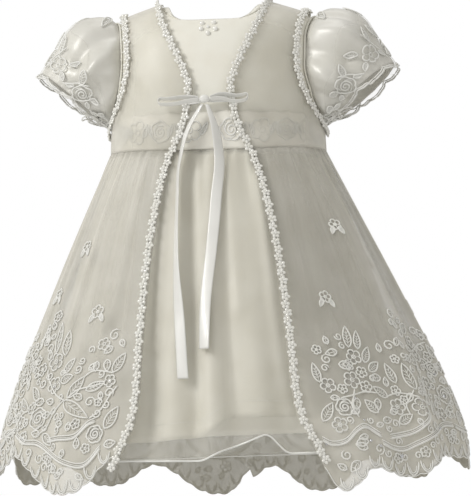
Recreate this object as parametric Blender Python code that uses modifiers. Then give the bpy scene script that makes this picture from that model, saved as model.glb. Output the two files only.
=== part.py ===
"""Christening gown, worn shape with no wearer: a satin dress with puff sleeves under a sheer open coat.

The origin lies between the two shoulder neck points, where a wearer's shoulders hold the gown.
The front faces -Y, +X is the wearer's left, and +Z is up. Lengths are in metres.
"""

import math

import bmesh
import bpy
import numpy as np

# Cloth and seams
WALL = 0.0010
SEAM_GAP = 0.0003
SEAM_HALF = 0.0004
LAYER_GAP = 0.0004

# Neck, shoulders and armholes
NECK_HALF = 0.051
FRONT_NECK_DROP = 0.024
BACK_NECK_DROP = 0.010
NECK_CURVE = 5
SHOULDER_HALF = 0.097
SHOULDER_DROP = 0.014
SHOULDER_ROLL = 0.040
UNDERARM_Z = -0.114
ARM_INSET = 0.0125
ARM_TOP_POWER = 0.5
ARM_BASE_POWER = 1.2
ARM_MID = (UNDERARM_Z - SHOULDER_DROP) / 2
ARM_HALF = (-SHOULDER_DROP - UNDERARM_Z) / 2
WAIST_Z = -0.144

# How the worn gown hangs: a slight lean, the skirt swung to the wearer's left, the waist low in front
LEAN = 0.015
SWING = 0.028
WAIST_DIP = 0.006
DIP_DEPTH = 0.065
DIP_REACH = 0.045

# Layers over the satin bodice, each as the distance of its outer face from the bodice's outer face
BAND_OUT = LAYER_GAP + WALL
COAT_OUT = BAND_OUT + 0.0007 + WALL
TRIM_WALL = 0.0012
TRIM_OUT = COAT_OUT + 0.0006 + TRIM_WALL
BORDER_OUT = 0.0006 + WALL
COAT_ARM_MARGIN = 0.006
TRIM_WIDTH = 0.007
ARM_TRIM_COLUMNS = 32
NECK_TRIM_LIFT = 0.0004
BAND_TOP_Z = -0.111
BAND_SIDE_Z = -0.124
BAND_SCALLOP = 0.0015
BAND_RISE_FROM = 68
BAND_RISE_OVER = 16

# Sleeves
CUFF_CENTRE = np.array([0.1375, -0.001, -0.0857])
CUFF_UP = np.array([0.77, 0.0, 0.638])
CUFF_HALF_HEIGHT = 0.0360
CUFF_HALF_DEPTH = 0.034
UNDERSIDE_SWELL = 0.10
SLEEVE_COLUMNS = 26
CAP_GATHER = 0.0011
CUFF_GATHER = 0.0009
PIPING_RADIUS = 0.0009
CUFF_LACE_DROP = 0.0065
CUFF_SCALLOPS = 7

# Skirts
SKIRT_DROP = 0.30
OVER_OUT_HEM = 0.0050
COAT_CORNER_Z = -0.430
SCALLOP_ROUND = 1.35
FRONT, BACK = -1, 1
BLUNT = 2 / 2.4

# Ribbon
RIBBON_WIDTH = 0.010
RIBBON_WALL = 0.0010
LOOP_WIDTH = 0.0075
LOOP_RADIUS = 0.0018
LOOP_ROOT = 0.0013
LOOP_ROOT_WIDTH = 0.0045
TIE_Z = -0.1030
TIE_HALF = 0.0235
TIE_WIDTH = 0.006
TIE_GAP = 0.0006
KNOT_X = -0.0041
KNOT_CAGE = (0.0115, 0.0075, 0.0095)
KNOT_HALF = 0.0049
KNOT_DEEP = 0.0032
TAIL_CLEAR = 0.0009
TAIL_LEAVE = 0.025

# Half width, front depth and back depth of the satin bodice at each height
TORSO = (
    (-0.144, 0.0985, 0.0650, 0.0565),
    (-0.114, 0.0975, 0.0660, 0.0575),
    (-0.080, 0.0978, 0.0645, 0.0565),
    (-0.045, 0.0975, 0.0580, 0.0520),
    (-0.017, 0.0965, 0.0500, 0.0450),
    (0.000, 0.0960, 0.0460, 0.0410),
)

# Half width, front depth and back depth of the satin underskirt at each height
UNDERSKIRT = (
    (-0.440, 0.1765, 0.1300, 0.1320),
    (-0.350, 0.1580, 0.1150, 0.1150),
    (-0.275, 0.1390, 0.0985, 0.0960),
    (-0.200, 0.1165, 0.0800, 0.0740),
    (-0.144, 0.0985, 0.0650, 0.0565),
)

# Half width, front depth and back depth of the coat's skirt at each height
COAT_SKIRT = (
    (-0.470, 0.2160, 0.1495, 0.1670),
    (-0.413, 0.2115, 0.1440, 0.1580),
    (-0.350, 0.1925, 0.1300, 0.1380),
    (-0.275, 0.1610, 0.1095, 0.1110),
    (-0.200, 0.1275, 0.0868, 0.0825),
    (-0.144, 0.1016, 0.0681, 0.0596),
)

# Distance from the centre front of the coat's open edge at each height
COAT_EDGE = (
    (-0.440, 0.0890),
    (-0.420, 0.0805),
    (-0.400, 0.0705),
    (-0.375, 0.0650),
    (-0.340, 0.0625),
    (-0.300, 0.0590),
    (-0.260, 0.0550),
    (-0.225, 0.0500),
    (-0.190, 0.0437),
    (-0.165, 0.0385),
    (-0.144, 0.0315),
    (-0.128, 0.0232),
    (-0.112, 0.0180),
    (-0.098, 0.0153),
    (-0.085, 0.0165),
    (-0.068, 0.0230),
    (-0.050, 0.0310),
    (-0.024, 0.0425),
    (0.000, 0.0495),
)

# Angle, half width in degrees and height of each fold in the dress's skirt, from the centre front
SKIRT_FOLDS = (
    (-78, 8, 0.0050),
    (-60, 9, 0.0070),
    (-41, 8, 0.0055),
    (-27, 7, 0.0080),
    (-13, 7, 0.0060),
    (-1, 6, 0.0085),
    (13, 8, 0.0050),
    (27, 7, 0.0085),
    (43, 9, 0.0060),
    (61, 8, 0.0070),
    (78, 8, 0.0045),
    (103, 9, 0.0060),
    (122, 8, 0.0050),
    (140, 9, 0.0070),
    (160, 9, 0.0055),
    (179, 8, 0.0070),
    (-162, 8, 0.0050),
    (-143, 9, 0.0065),
    (-122, 9, 0.0055),
    (-103, 8, 0.0060),
)

# Angle, half width in degrees and height of each fold in the coat's skirt, from the centre front
COAT_FOLDS = (
    (36, 10, 0.0050),
    (56, 9, 0.0075),
    (75, 9, 0.0045),
    (-38, 9, 0.0065),
    (-58, 10, 0.0045),
    (-76, 9, 0.0060),
    (106, 12, 0.0060),
    (130, 11, 0.0080),
    (156, 12, 0.0055),
    (179, 10, 0.0080),
    (-155, 11, 0.0060),
    (-131, 12, 0.0075),
    (-107, 11, 0.0055),
)

# Angle from the centre front and height of the overskirt's hem
OVER_HEM = (
    (-180, -0.4220),
    (-90, -0.4240),
    (-55, -0.4270),
    (-28, -0.4285),
    (-4, -0.4310),
    (1, -0.4235),
    (8, -0.4165),
    (14, -0.4095),
    (19, -0.4270),
    (45, -0.4270),
    (90, -0.4240),
    (180, -0.4220),
)

# Angle from the centre front and height of the satin underskirt's hem
UNDER_HEM = (
    (-180, -0.4010),
    (-90, -0.4060),
    (-45, -0.4125),
    (-20, -0.4128),
    (-4, -0.4103),
    (4, -0.3942),
    (22, -0.3955),
    (45, -0.3990),
    (90, -0.4030),
    (180, -0.4010),
)

# Angle from the centre front and height of each high and low point of the coat's scalloped hem in turn
COAT_HEM = (
    (-181, -0.4330),
    (-172, -0.4590),
    (-154, -0.4280),
    (-140, -0.4470),
    (-126, -0.4270),
    (-111, -0.4440),
    (-97, -0.4180),
    (-80, -0.4350),
    (-61, -0.4210),
    (-38, -0.4550),
    (-24, -0.4260),
    (24, -0.4400),
    (29, -0.4600),
    (37, -0.4420),
    (48, -0.4500),
    (62, -0.4330),
    (75, -0.4350),
    (90, -0.4160),
    (103, -0.4440),
    (117, -0.4270),
    (131, -0.4500),
    (146, -0.4300),
    (161, -0.4590),
    (174, -0.4330),
    (188, -0.4590),
)

# Angle from the centre front and share of the skirt's height at which the lace border's top lies
LACE_TOP = (
    (22, 0.610),
    (33, 0.550),
    (43, 0.650),
    (58, 0.515),
    (66, 0.600),
    (73, 0.545),
    (84, 0.650),
    (100, 0.520),
    (113, 0.650),
    (121, 0.570),
    (131, 0.650),
    (146, 0.520),
    (159, 0.650),
    (168, 0.570),
    (180, 0.620),
)

# Share of the way from armhole to cuff, and how far the top of the sleeve swells there
SLEEVE = (
    (0.00, 0.0000),
    (0.06, 0.0070),
    (0.13, 0.0130),
    (0.24, 0.0190),
    (0.38, 0.0235),
    (0.54, 0.0215),
    (0.70, 0.0135),
    (0.85, 0.0080),
    (1.00, 0.0030),
)

# Height, distance from the centre front and turn in degrees of each ribbon tail's middle line
TAIL_RIGHT = (
    (-0.360, -0.0280, 12),
    (-0.310, -0.0300, 20),
    (-0.260, -0.0325, 55),
    (-0.200, -0.0312, 68),
    (-0.155, -0.0282, 66),
    (-0.125, -0.0190, 50),
    (-0.1075, -0.0068, 20),
)
TAIL_LEFT = (
    (-0.335, -0.0090, 28),
    (-0.290, -0.0065, 12),
    (-0.250, -0.0012, 4),
    (-0.195, 0.0048, -14),
    (-0.152, 0.0085, -34),
    (-0.125, 0.0050, -40),
    (-0.1075, -0.0015, -20),
)

NECK_SHARES = (0.0, 0.30, 0.56, 0.76, 0.89, 0.95, 1.0)
BODICE_ROWS = (0.0, 0.10, 0.19, 0.28, 0.38, 0.50, 0.63, 0.76, 0.88, 0.96, 0.993, 1.0)
SKIRT_ROWS = (0.0, 0.10, 0.27, 0.49, 0.74, 1.0)
COAT_ROWS = (0.0, 0.08, 0.20, 0.34, 0.50, 0.67, 0.84, 1.0)
LACE_ROWS = (0.67, 0.84, 1.0)

# Colour and roughness of each cloth
CLOTHS = {
    "satin": ((0.86, 0.85, 0.81), 0.32),
    "organza": ((0.83, 0.83, 0.80), 0.45),
    "lace": ((0.90, 0.89, 0.85), 0.60),
    "beaded_braid": ((0.88, 0.87, 0.82), 0.40),
    "ribbon": ((0.91, 0.90, 0.87), 0.28),
}


def lerp(start, end, share):
    return start + (end - start) * share


def smooth_at(table, where):
    """The other columns of a table at a value of its first column, on a smooth curve through its rows."""
    rows = np.array(table, float)
    knots, values = rows[:, 0], rows[:, 1:]
    slopes = np.gradient(values, knots, axis=0)
    where = min(max(where, knots[0]), knots[-1])
    i = min(int(np.searchsorted(knots, where, side="right")) - 1, len(knots) - 2)
    span = knots[i + 1] - knots[i]
    t = (where - knots[i]) / span
    rise = t * t * (3 - 2 * t)
    leave = t * (1 - t) ** 2
    arrive = t * t * (t - 1)
    return (1 - rise) * values[i] + rise * values[i + 1] + span * (leave * slopes[i] + arrive * slopes[i + 1])


def signed_power(value, power):
    return math.copysign(abs(value) ** power, value)


def unit(vector):
    return vector / np.linalg.norm(vector)


# The figure under the bodice

def ridge_z(x):
    """Height of the shoulder line at a distance from the centre."""
    beyond = max(0.0, abs(x) - NECK_HALF)
    return -SHOULDER_DROP * beyond / (SHOULDER_HALF - NECK_HALF)


def neck_z(x, drop):
    """Height of the neckline, or of the shoulder line beyond it."""
    share = min(1.0, abs(x) / NECK_HALF)
    if share >= 1:
        return ridge_z(x)
    return -drop * (1 - share**NECK_CURVE)


def torso(side, angle, z):
    """A point on the bodice's outer face, at an angle from the centre front or centre back."""
    half_width, front, back = smooth_at(TORSO, z)
    x = half_width * signed_power(math.sin(angle), BLUNT)
    below = min(max((ridge_z(x) - z) / SHOULDER_ROLL, 0.0), 1.0)
    roll = math.sqrt(1 - (1 - below) ** 2)
    depth = front if side == FRONT else back
    return np.array([x, side * depth * abs(math.cos(angle)) ** BLUNT * roll, z])


def torso_angle(x, z):
    half_width = smooth_at(TORSO, z)[0]
    return math.asin(signed_power(min(1.0, abs(x) / half_width), 1 / BLUNT)) * (1 if x >= 0 else -1)


def armhole_angle(z, margin):
    """The angle of the armhole's edge at a height, the armhole being cut larger by a margin."""
    half_width = smooth_at(TORSO, z)[0]
    power = ARM_TOP_POWER if z > ARM_MID else ARM_BASE_POWER
    share = max(0.0, 1 - ((z - ARM_MID) / (ARM_HALF + margin)) ** 2) ** power
    return torso_angle(half_width - (ARM_INSET + margin) * share, z)


def armhole_tip_z(margin):
    """Height at which that armhole meets the shoulder line."""
    low, high = ARM_MID, 0.0
    for _ in range(40):
        z = (low + high) / 2
        x = torso(FRONT, armhole_angle(z, margin), z)[0]
        low, high = (z, high) if z < ridge_z(x) else (low, z)
    return low


def armhole_point(turn, margin):
    """A point round the armhole on the wearer's left, from the shoulder forwards and under the arm."""
    tip = armhole_tip_z(margin)
    bottom = ARM_MID - ARM_HALF - margin
    z = lerp(bottom, tip, (1 + math.cos(turn)) / 2)
    side = FRONT if math.sin(turn) >= 0 else BACK
    return torso(side, armhole_angle(z, margin), z)


# Making walls from grids of points

def normals_of(grid, closed=False):
    """The outward direction at each point of a grid of rows and columns."""
    if closed:
        wide = np.concatenate([grid[:, -1:], grid, grid[:, :1]], axis=1)
        along = np.gradient(wide, axis=1)[:, 1:-1]
    else:
        along = np.gradient(grid, axis=1)
    up = np.gradient(grid, axis=0)
    normals = np.cross(along, up)
    normals /= np.linalg.norm(normals, axis=2, keepdims=True) + 1e-12
    middle = np.mean(grid, axis=(0, 1)) if closed else np.array([0.0, 0.0, np.mean(grid[:, :, 2])])
    return normals if np.sum(normals * (grid - middle)) > 0 else -normals


def moved_out(grid, distance, closed=False):
    distance = np.asarray(distance, float)
    if distance.ndim == 1:
        distance = distance[:, None, None]
    return grid + normals_of(grid, closed) * distance


def kept_to(side, grid):
    """Holds a panel to its own side of the shoulder and side seams."""
    grid = grid.copy()
    grid[:, :, 1] = side * np.maximum(side * grid[:, :, 1], SEAM_HALF)
    return grid


def mirrored(grid):
    return grid * np.array([-1.0, 1.0, 1.0])


def hang(points):
    """Points moved as the worn gown hangs."""
    x, y, z = np.moveaxis(np.asarray(points, float), -1, 0)
    drop = np.maximum(0.0, WAIST_Z - z)
    front = np.clip(-y / DIP_DEPTH, 0.0, 1.0) ** 2
    dip = WAIST_DIP * front * np.exp(-(((z - WAIST_Z) / DIP_REACH) ** 2))
    tilt = SWING * x * np.minimum(1.0, drop / SKIRT_DROP)
    return np.stack([x - LEAN * z + SWING * drop, y, z + tilt - dip], axis=-1)


def material(name):
    found = bpy.data.materials.get(name)
    if found:
        return found
    colour, roughness = CLOTHS[name]
    made = bpy.data.materials.new(name)
    made.use_nodes = True
    shader = made.node_tree.nodes["Principled BSDF"]
    shader.inputs["Base Color"].default_value = (*colour, 1.0)
    shader.inputs["Roughness"].default_value = roughness
    made.diffuse_color = (*colour, 1.0)
    return made


def link(obj):
    bpy.data.collections["christening_gown"].objects.link(obj)
    return obj


def wall(name, grid, cloth, thickness=WALL, closed=False, offset=-1):
    """One piece of cloth: an open surface through a grid, thickened inwards, or both ways with no offset."""
    grid = hang(grid)
    rows, columns = grid.shape[:2]
    mesh = bpy.data.meshes.new(name)
    body = bmesh.new()
    points = [[body.verts.new(p) for p in row] for row in grid]
    outward = normals_of(grid, closed)
    around = columns if closed else columns - 1
    for i in range(rows - 1):
        for j in range(around):
            k = (j + 1) % columns
            body.faces.new((points[i][j], points[i][k], points[i + 1][k], points[i + 1][j]))
    body.normal_update()
    facing = sum(float(np.dot(f.normal, outward[i // around, i % around])) for i, f in enumerate(body.faces))
    if facing < 0:
        bmesh.ops.reverse_faces(body, faces=body.faces)
    body.to_mesh(mesh)
    body.free()
    mesh.shade_smooth()
    obj = link(bpy.data.objects.new(name, mesh))
    mesh.materials.append(material(cloth))
    solid = obj.modifiers.new("thickness", "SOLIDIFY")
    solid.thickness = thickness
    solid.offset = offset
    return obj


# Dress bodice

def bodice_grid(side, left, right, top_z, columns, bottom_z=WAIST_Z, rows=BODICE_ROWS):
    """Points of a bodice panel. left and right each give an edge's angle at a height, and its top height."""
    left_angle, left_top = left
    right_angle, right_top = right
    tops = []
    for u in columns:
        angle = lerp(left_angle(left_top), right_angle(right_top), u)
        z = lerp(left_top, right_top, u)
        for _ in range(4):
            z = top_z(torso(side, angle, z)[0])
        tops.append(z)
    grid = []
    for v in rows:
        start = left_angle(lerp(bottom_z, left_top, v))
        end = right_angle(lerp(bottom_z, right_top, v))
        grid.append([torso(side, lerp(start, end, u), lerp(bottom_z, z, v)) for u, z in zip(columns, tops)])
    return np.array(grid)


def armhole_edge(sign, margin=0.0):
    return (lambda z: sign * armhole_angle(z, margin)), armhole_tip_z(margin)


def half_columns(margin):
    """Columns from the centre to the armhole, one of them at the corner of the neckline."""
    corner = torso_angle(NECK_HALF, 0.0) / armhole_angle(armhole_tip_z(margin), margin)
    return [corner * share for share in NECK_SHARES] + [lerp(corner, 1.0, k / 5) for k in range(1, 6)]


def whole_columns(margin):
    half = half_columns(margin)
    return [(1 - u) / 2 for u in reversed(half[1:])] + [(1 + u) / 2 for u in half]


def build_bodice():
    columns = whole_columns(0.0)
    front = bodice_grid(FRONT, armhole_edge(-1), armhole_edge(1), lambda x: neck_z(x, FRONT_NECK_DROP), columns)
    wall("bodice_front", kept_to(FRONT, front), "satin")
    centre = (lambda z: 0.0), -BACK_NECK_DROP
    back = bodice_grid(BACK, centre, armhole_edge(1), lambda x: neck_z(x, BACK_NECK_DROP), half_columns(0.0))
    back = kept_to(BACK, back)
    back[:, 0, 0] = SEAM_HALF
    wall("bodice_back_left", back, "satin")
    wall("bodice_back_right", mirrored(back), "satin")


def band_top(degrees, column):
    """Height of the waist lace's scalloped top, low under the arms."""
    rise = min(1.0, max(0.0, (BAND_RISE_FROM - abs(degrees)) / BAND_RISE_OVER))
    scallop = BAND_SCALLOP if column % 2 else 0.0
    return lerp(BAND_SIDE_Z, BAND_TOP_Z, rise * rise * (3 - 2 * rise)) - scallop


def build_waist_lace():
    """The lace band round the front of the dress's high waist, seen through the coat."""
    angles = np.linspace(-90, 90, 31)
    tops = [band_top(a, j) for j, a in enumerate(angles)]
    rows = (0.0, 0.33, 0.67, 1.0)
    band = [[torso(FRONT, math.radians(a), lerp(WAIST_Z, z, v)) for a, z in zip(angles, tops)] for v in rows]
    wall("waist_lace", kept_to(FRONT, moved_out(np.array(band), BAND_OUT)), "lace")


# Sleeves

def cuff_direction(turn):
    return math.cos(turn) * CUFF_UP + math.sin(turn) * np.array([0.0, -1.0, 0.0])


def sleeve_point(turn, along, swell):
    root = armhole_point(turn, 0.0) + np.array([LAYER_GAP, 0.0, 0.0])
    height, depth = math.cos(turn) * CUFF_HALF_HEIGHT, math.sin(turn) * CUFF_HALF_DEPTH
    cuff = CUFF_CENTRE + height * CUFF_UP + np.array([0.0, -depth, 0.0])
    outward = unit(lerp(np.array([0.0, -math.sin(turn), math.cos(turn)]), cuff_direction(turn), along))
    top_share = (1 + math.cos(turn)) / 2
    share = lerp(UNDERSIDE_SWELL, 1.0, top_share)
    column = round(turn / (2 * math.pi) * SLEEVE_COLUMNS)
    pleat = 1 if column % 2 else -1
    gather = CAP_GATHER * top_share * math.sin(math.pi * min(1.0, along / 0.5))
    gather += CUFF_GATHER * max(0.0, (along - 0.5) / 0.5)
    return lerp(root, cuff, along) + outward * (swell * share + pleat * gather)


def sleeve_grid():
    turns = [2 * math.pi * k / SLEEVE_COLUMNS for k in range(SLEEVE_COLUMNS)]
    return np.array([[sleeve_point(turn, along, swell) for turn in turns] for along, swell in SLEEVE])


def cuff_lace_grid(sleeve):
    """Scalloped lace over the lower sleeve, made from the sleeve's own points and moved out."""
    outer = moved_out(sleeve, LAYER_GAP + 0.0002 + WALL, closed=True)
    columns = sleeve.shape[1]
    last = outer[-1]
    onward = outer[-1] - outer[-2]
    onward /= np.linalg.norm(onward, axis=1, keepdims=True)
    peaks = np.array([0.5 + 0.5 * math.cos(2 * math.pi * k * 6 / columns) for k in range(columns)])
    top = outer[5] + (outer[4] - outer[5]) * lerp(0.1, 0.8, peaks[:, None])
    lobes = np.array([abs(math.sin(math.pi * k * CUFF_SCALLOPS / columns)) for k in range(columns)])
    edge = last + onward * (CUFF_LACE_DROP * lerp(0.35, 1.0, lobes[:, None]))
    return np.array([top, outer[5], outer[6], outer[7], last, edge])


def piping_points(sleeve):
    """Middle line of the piping, laid in the crease between bodice and sleeve."""
    outward = normals_of(sleeve, closed=True)[0]
    points = []
    for k in range(SLEEVE_COLUMNS):
        turn = 2 * math.pi * k / SLEEVE_COLUMNS
        seam = armhole_point(turn, 0.0)
        before = armhole_point(turn, 0.003)
        slope = unit(seam - before)
        round_it = unit(armhole_point(turn + 0.05, 0.0) - armhole_point(turn - 0.05, 0.0))
        facing = unit(np.cross(slope, round_it))
        radial = np.array([0.0, -math.sin(turn), math.cos(turn)])
        facing = facing if np.dot(facing, radial + np.array([0.3, 0.0, 0.0])) > 0 else -facing
        bisector = unit(facing + outward[k])
        opening = math.sqrt(max(0.05, (1 + float(np.dot(facing, outward[k]))) / 2))
        points.append(seam + bisector * (PIPING_RADIUS + LAYER_GAP) / opening)
    return points


def tube(name, points, radius, cloth, closed):
    """A cord of round section along a line of points."""
    curve = bpy.data.curves.new(name, "CURVE")
    curve.dimensions = "3D"
    curve.bevel_depth = radius
    curve.bevel_resolution = 1
    curve.use_fill_caps = True
    spline = curve.splines.new("POLY")
    spline.points.add(len(points) - 1)
    for point, place in zip(spline.points, hang(points)):
        point.co = (*place, 1.0)
    spline.use_cyclic_u = closed
    curve.materials.append(material(cloth))
    return link(bpy.data.objects.new(name, curve))


def build_sleeves():
    sleeve = sleeve_grid()
    lace = cuff_lace_grid(sleeve)
    piping = np.array(piping_points(sleeve))
    for label, turned in (("left", lambda g: g), ("right", mirrored)):
        wall(f"sleeve_{label}", turned(sleeve), "satin", closed=True)
        wall(f"cuff_lace_{label}", turned(lace), "lace", closed=True)
        tube(f"armhole_piping_{label}", turned(piping), PIPING_RADIUS, "satin", closed=True)


# Skirts

def fold_height(folds, degrees):
    height = 0.0
    for centre, half_width, rise in folds:
        away = abs((degrees - centre + 180) % 360 - 180)
        if away < half_width:
            height += rise * (0.5 + 0.5 * math.cos(math.pi * away / half_width))
    return height


def skirt_point(table, folds, degrees, z):
    """A point on a skirt's outer face, at an angle from the centre front."""
    half_width, front, back = smooth_at(table, z)
    fall = min(1.0, (WAIST_Z - z) / SKIRT_DROP)
    blunt = lerp(BLUNT, 1.0, min(1.0, fall * 1.8))
    sine, cosine = math.sin(math.radians(degrees)), math.cos(math.radians(degrees))
    depth = front if cosine > 0 else back
    outward = unit(np.array([sine / half_width, -cosine / depth, 0.0]))
    place = np.array([half_width * signed_power(sine, blunt), -depth * signed_power(cosine, blunt), z])
    return place + outward * fold_height(folds, degrees) * fall**1.15


def hem_at(table, degrees):
    """Height of a wavy hem, straight between the rows of its table."""
    rows = np.array(table)
    return float(np.interp((degrees + 180) % 360 - 180, rows[:, 0], rows[:, 1]))


def skirt_grid(table, folds, angles, hem, rows):
    top = WAIST_Z - SEAM_GAP
    return np.array([[skirt_point(table, folds, a, lerp(top, hem(a), v)) for a in angles] for v in rows])


def build_dress_skirts():
    front_angles = list(np.linspace(-90, 90, 33))
    back_angles = list(np.linspace(90, 270, 29))
    for label, side, angles in (("front", FRONT, front_angles), ("back", BACK, back_angles)):
        under = skirt_grid(UNDERSKIRT, SKIRT_FOLDS, angles, lambda a: hem_at(UNDER_HEM, a), SKIRT_ROWS)
        longer = skirt_grid(UNDERSKIRT, SKIRT_FOLDS, angles, lambda a: hem_at(OVER_HEM, a), SKIRT_ROWS)
        over = moved_out(longer, [lerp(BAND_OUT, OVER_OUT_HEM, v) for v in SKIRT_ROWS])
        over[0, :, 2] = WAIST_Z - SEAM_GAP
        wall(f"underskirt_{label}", kept_to(side, under), "satin")
        wall(f"overskirt_{label}", kept_to(side, over), "organza")


# Coat

def coat_edge_x(z):
    return float(smooth_at(COAT_EDGE, z)[0])


def coat_edge_degrees(z):
    """Angle of the open front edge on the coat's skirt at a height."""
    low, high = 5.0, 60.0
    for _ in range(30):
        middle = (low + high) / 2
        x = skirt_point(COAT_SKIRT, COAT_FOLDS, middle, z)[0]
        low, high = (middle, high) if x < coat_edge_x(z) else (low, middle)
    return low


def coat_hem(degrees):
    """Height of the coat's scalloped hem, round at its low points and sharper at its high ones."""
    angles = [row[0] for row in COAT_HEM]
    degrees = (degrees + 180) % 360 - 180
    i = min(max(int(np.searchsorted(angles, degrees, side="right")) - 1, 0), len(angles) - 2)
    (first, start), (second, end) = COAT_HEM[i : i + 2]
    share = (degrees - first) / (second - first)
    high, low, away = (start, end, share) if start > end else (end, start, 1 - share)
    return low + (high - low) * (0.5 + 0.5 * math.cos(math.pi * away)) ** SCALLOP_ROUND


def lace_top_share(degrees):
    """Where the lace border ends above the hem, as a share of the skirt's height."""
    rows = np.array(LACE_TOP)
    return float(np.interp(abs((degrees + 180) % 360 - 180), rows[:, 0], rows[:, 1]))


def column_points(grid, j, share):
    """The point of a grid's column at a share of the skirt's height."""
    return np.array([np.interp(share, COAT_ROWS, grid[:, j, axis]) for axis in range(3)])


def lace_border(grid, angles, first):
    """Lace over the coat's hem, made from the panel's own points and moved out."""
    top = [column_points(grid, j, lace_top_share(angles[j])) for j in range(first, grid.shape[1])]
    rows = [COAT_ROWS.index(v) for v in LACE_ROWS]
    lace = np.array([top, *[grid[i, first:] for i in rows]])
    return moved_out(lace, BORDER_OUT)


def coat_front_grid(sign):
    """Points and hem angles of the coat's front skirt on one side, sign being 1 on the wearer's left."""
    columns = np.linspace(0.0, 1.0, 21)
    top = WAIST_Z - SEAM_GAP
    edge_hem = coat_hem(sign * coat_edge_degrees(COAT_CORNER_Z))
    angles = [sign * lerp(coat_edge_degrees(edge_hem), 90.0, u) for u in columns]
    hems = [coat_hem(a) for a in angles]
    grid = []
    for v in COAT_ROWS:
        edge = coat_edge_degrees(lerp(top, edge_hem, v))
        row = [(sign * lerp(edge, 90.0, u), lerp(top, hem, v)) for u, hem in zip(columns, hems)]
        grid.append([skirt_point(COAT_SKIRT, COAT_FOLDS, a, z) for a, z in row])
    return kept_to(FRONT, np.array(grid)), angles


def build_coat_skirt():
    fronts = []
    for label, sign in (("left", 1), ("right", -1)):
        front, angles = coat_front_grid(sign)
        wall(f"coat_skirt_{label}", front, "organza")
        wall(f"lace_border_{label}", kept_to(FRONT, lace_border(front, angles, 1)), "lace")
        fronts.append(front)
    angles = list(np.linspace(90, 270, 41))
    back = kept_to(BACK, skirt_grid(COAT_SKIRT, COAT_FOLDS, angles, coat_hem, COAT_ROWS))
    wall("coat_skirt_back", back, "organza")
    wall("lace_border_back", kept_to(BACK, lace_border(back, angles, 0)), "lace")
    return fronts


def build_coat_bodice():
    margin = COAT_ARM_MARGIN
    columns = [k / 11 for k in range(12)]
    open_edge = (lambda z: torso_angle(coat_edge_x(z), z)), 0.0
    front = bodice_grid(FRONT, open_edge, armhole_edge(1, margin), ridge_z, columns)
    front = kept_to(FRONT, moved_out(front, COAT_OUT))
    wall("coat_bodice_left", front, "organza")
    wall("coat_bodice_right", mirrored(front), "organza")
    edges = armhole_edge(-1, margin), armhole_edge(1, margin)
    back = bodice_grid(BACK, *edges, lambda x: neck_z(x, BACK_NECK_DROP), whole_columns(margin))
    back = kept_to(BACK, moved_out(back, COAT_OUT))
    wall("coat_bodice_back", back, "organza")
    return front, back


def along(line, distance):
    """The point at a distance along a line of points."""
    steps = np.linalg.norm(np.diff(line, axis=0), axis=1)
    reached = np.concatenate([[0.0], np.cumsum(steps)])
    return np.array([np.interp(distance, reached, line[:, axis]) for axis in range(3)])


def edge_strip(grid, width):
    """A strip along the first column of a panel's grid, made from the panel's own points."""
    edge = grid[:, 0]
    run = np.gradient(edge, axis=0)
    across = grid[:, 1] - edge
    cosine = np.abs(np.sum(run * across, axis=1)) / np.linalg.norm(run, axis=1) / np.linalg.norm(across, axis=1)
    widths = width / np.sqrt(1 - np.minimum(cosine, 0.9) ** 2)
    return np.array([[along(row, w * share) for share in (0.0, 0.5, 1.0)] for row, w in zip(grid, widths)])


def build_front_trims(coat_front, skirts):
    """Beaded braid up each open edge of the coat, in one length over the bodice and the skirt."""
    for label, bodice, skirt in (("left", coat_front, skirts[0]), ("right", mirrored(coat_front), skirts[1])):
        lower = edge_strip(moved_out(skirt, TRIM_OUT - COAT_OUT), TRIM_WIDTH)[::-1]
        upper = edge_strip(moved_out(bodice, TRIM_OUT - COAT_OUT), TRIM_WIDTH)
        strip = kept_to(FRONT, np.concatenate([lower[:-1], upper]))
        wall(f"front_trim_{label}", strip, "beaded_braid", TRIM_WALL)


def build_armhole_trims():
    margins = [COAT_ARM_MARGIN + 0.0002 + TRIM_WIDTH * share for share in (0.0, 0.5, 1.0)]
    turns = [2 * math.pi * (k + 0.5) / ARM_TRIM_COLUMNS for k in range(ARM_TRIM_COLUMNS)]
    band = np.array([[armhole_point(turn, margin) for turn in turns] for margin in margins])
    facing = normals_of(band, closed=True)
    outward = band * np.array([0.0, 1.0, 0.0]) + np.array([0.02, 0.0, 0.0])
    facing = np.where(np.sum(facing * outward, axis=2, keepdims=True) > 0, facing, -facing)
    band = band + facing * TRIM_OUT
    wall("armhole_trim_left", band, "beaded_braid", TRIM_WALL, closed=True)
    wall("armhole_trim_right", mirrored(band), "beaded_braid", TRIM_WALL, closed=True)


def build_neck_trim(coat_back):
    """Beaded braid along the coat's back neck, from shoulder to shoulder."""
    corner = len(half_columns(0.0)) - len(NECK_SHARES) + 2
    columns = range(corner, coat_back.shape[1] - corner)
    outer = moved_out(coat_back, TRIM_OUT - COAT_OUT + NECK_TRIM_LIFT)[::-1]
    band = [[along(outer[:, j], TRIM_WIDTH * share) for j in columns] for share in (1.0, 0.75, 0.5, 0.25, 0.0)]
    wall("back_neck_trim", kept_to(BACK, np.array(band)), "beaded_braid", TRIM_WALL)


# Ribbon

def ribbon_strip(name, middles, widths, across, offset=-1):
    """A flat ribbon along its middle line, with its width laid along a direction at each point."""
    grid = [[m - d * w / 2, m + d * w / 2] for m, d, w in zip(middles, across, widths)]
    wall(name, np.array(grid), "ribbon", RIBBON_WALL, offset=offset)


def build_tie():
    """The short stretch sewn to both open edges of the coat. Returns the distance of its face from the middle."""
    side = torso(FRONT, torso_angle(TIE_HALF, TIE_Z), TIE_Z)[1]
    face = side - TRIM_OUT - TIE_GAP - RIBBON_WALL
    middles = [np.array([lerp(-TIE_HALF, TIE_HALF, k / 6), face, TIE_Z]) for k in range(7)]
    ribbon_strip("ribbon_tie", middles, [TIE_WIDTH] * 7, [np.array([0.0, 0.0, 1.0])] * 7)
    return face


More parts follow.
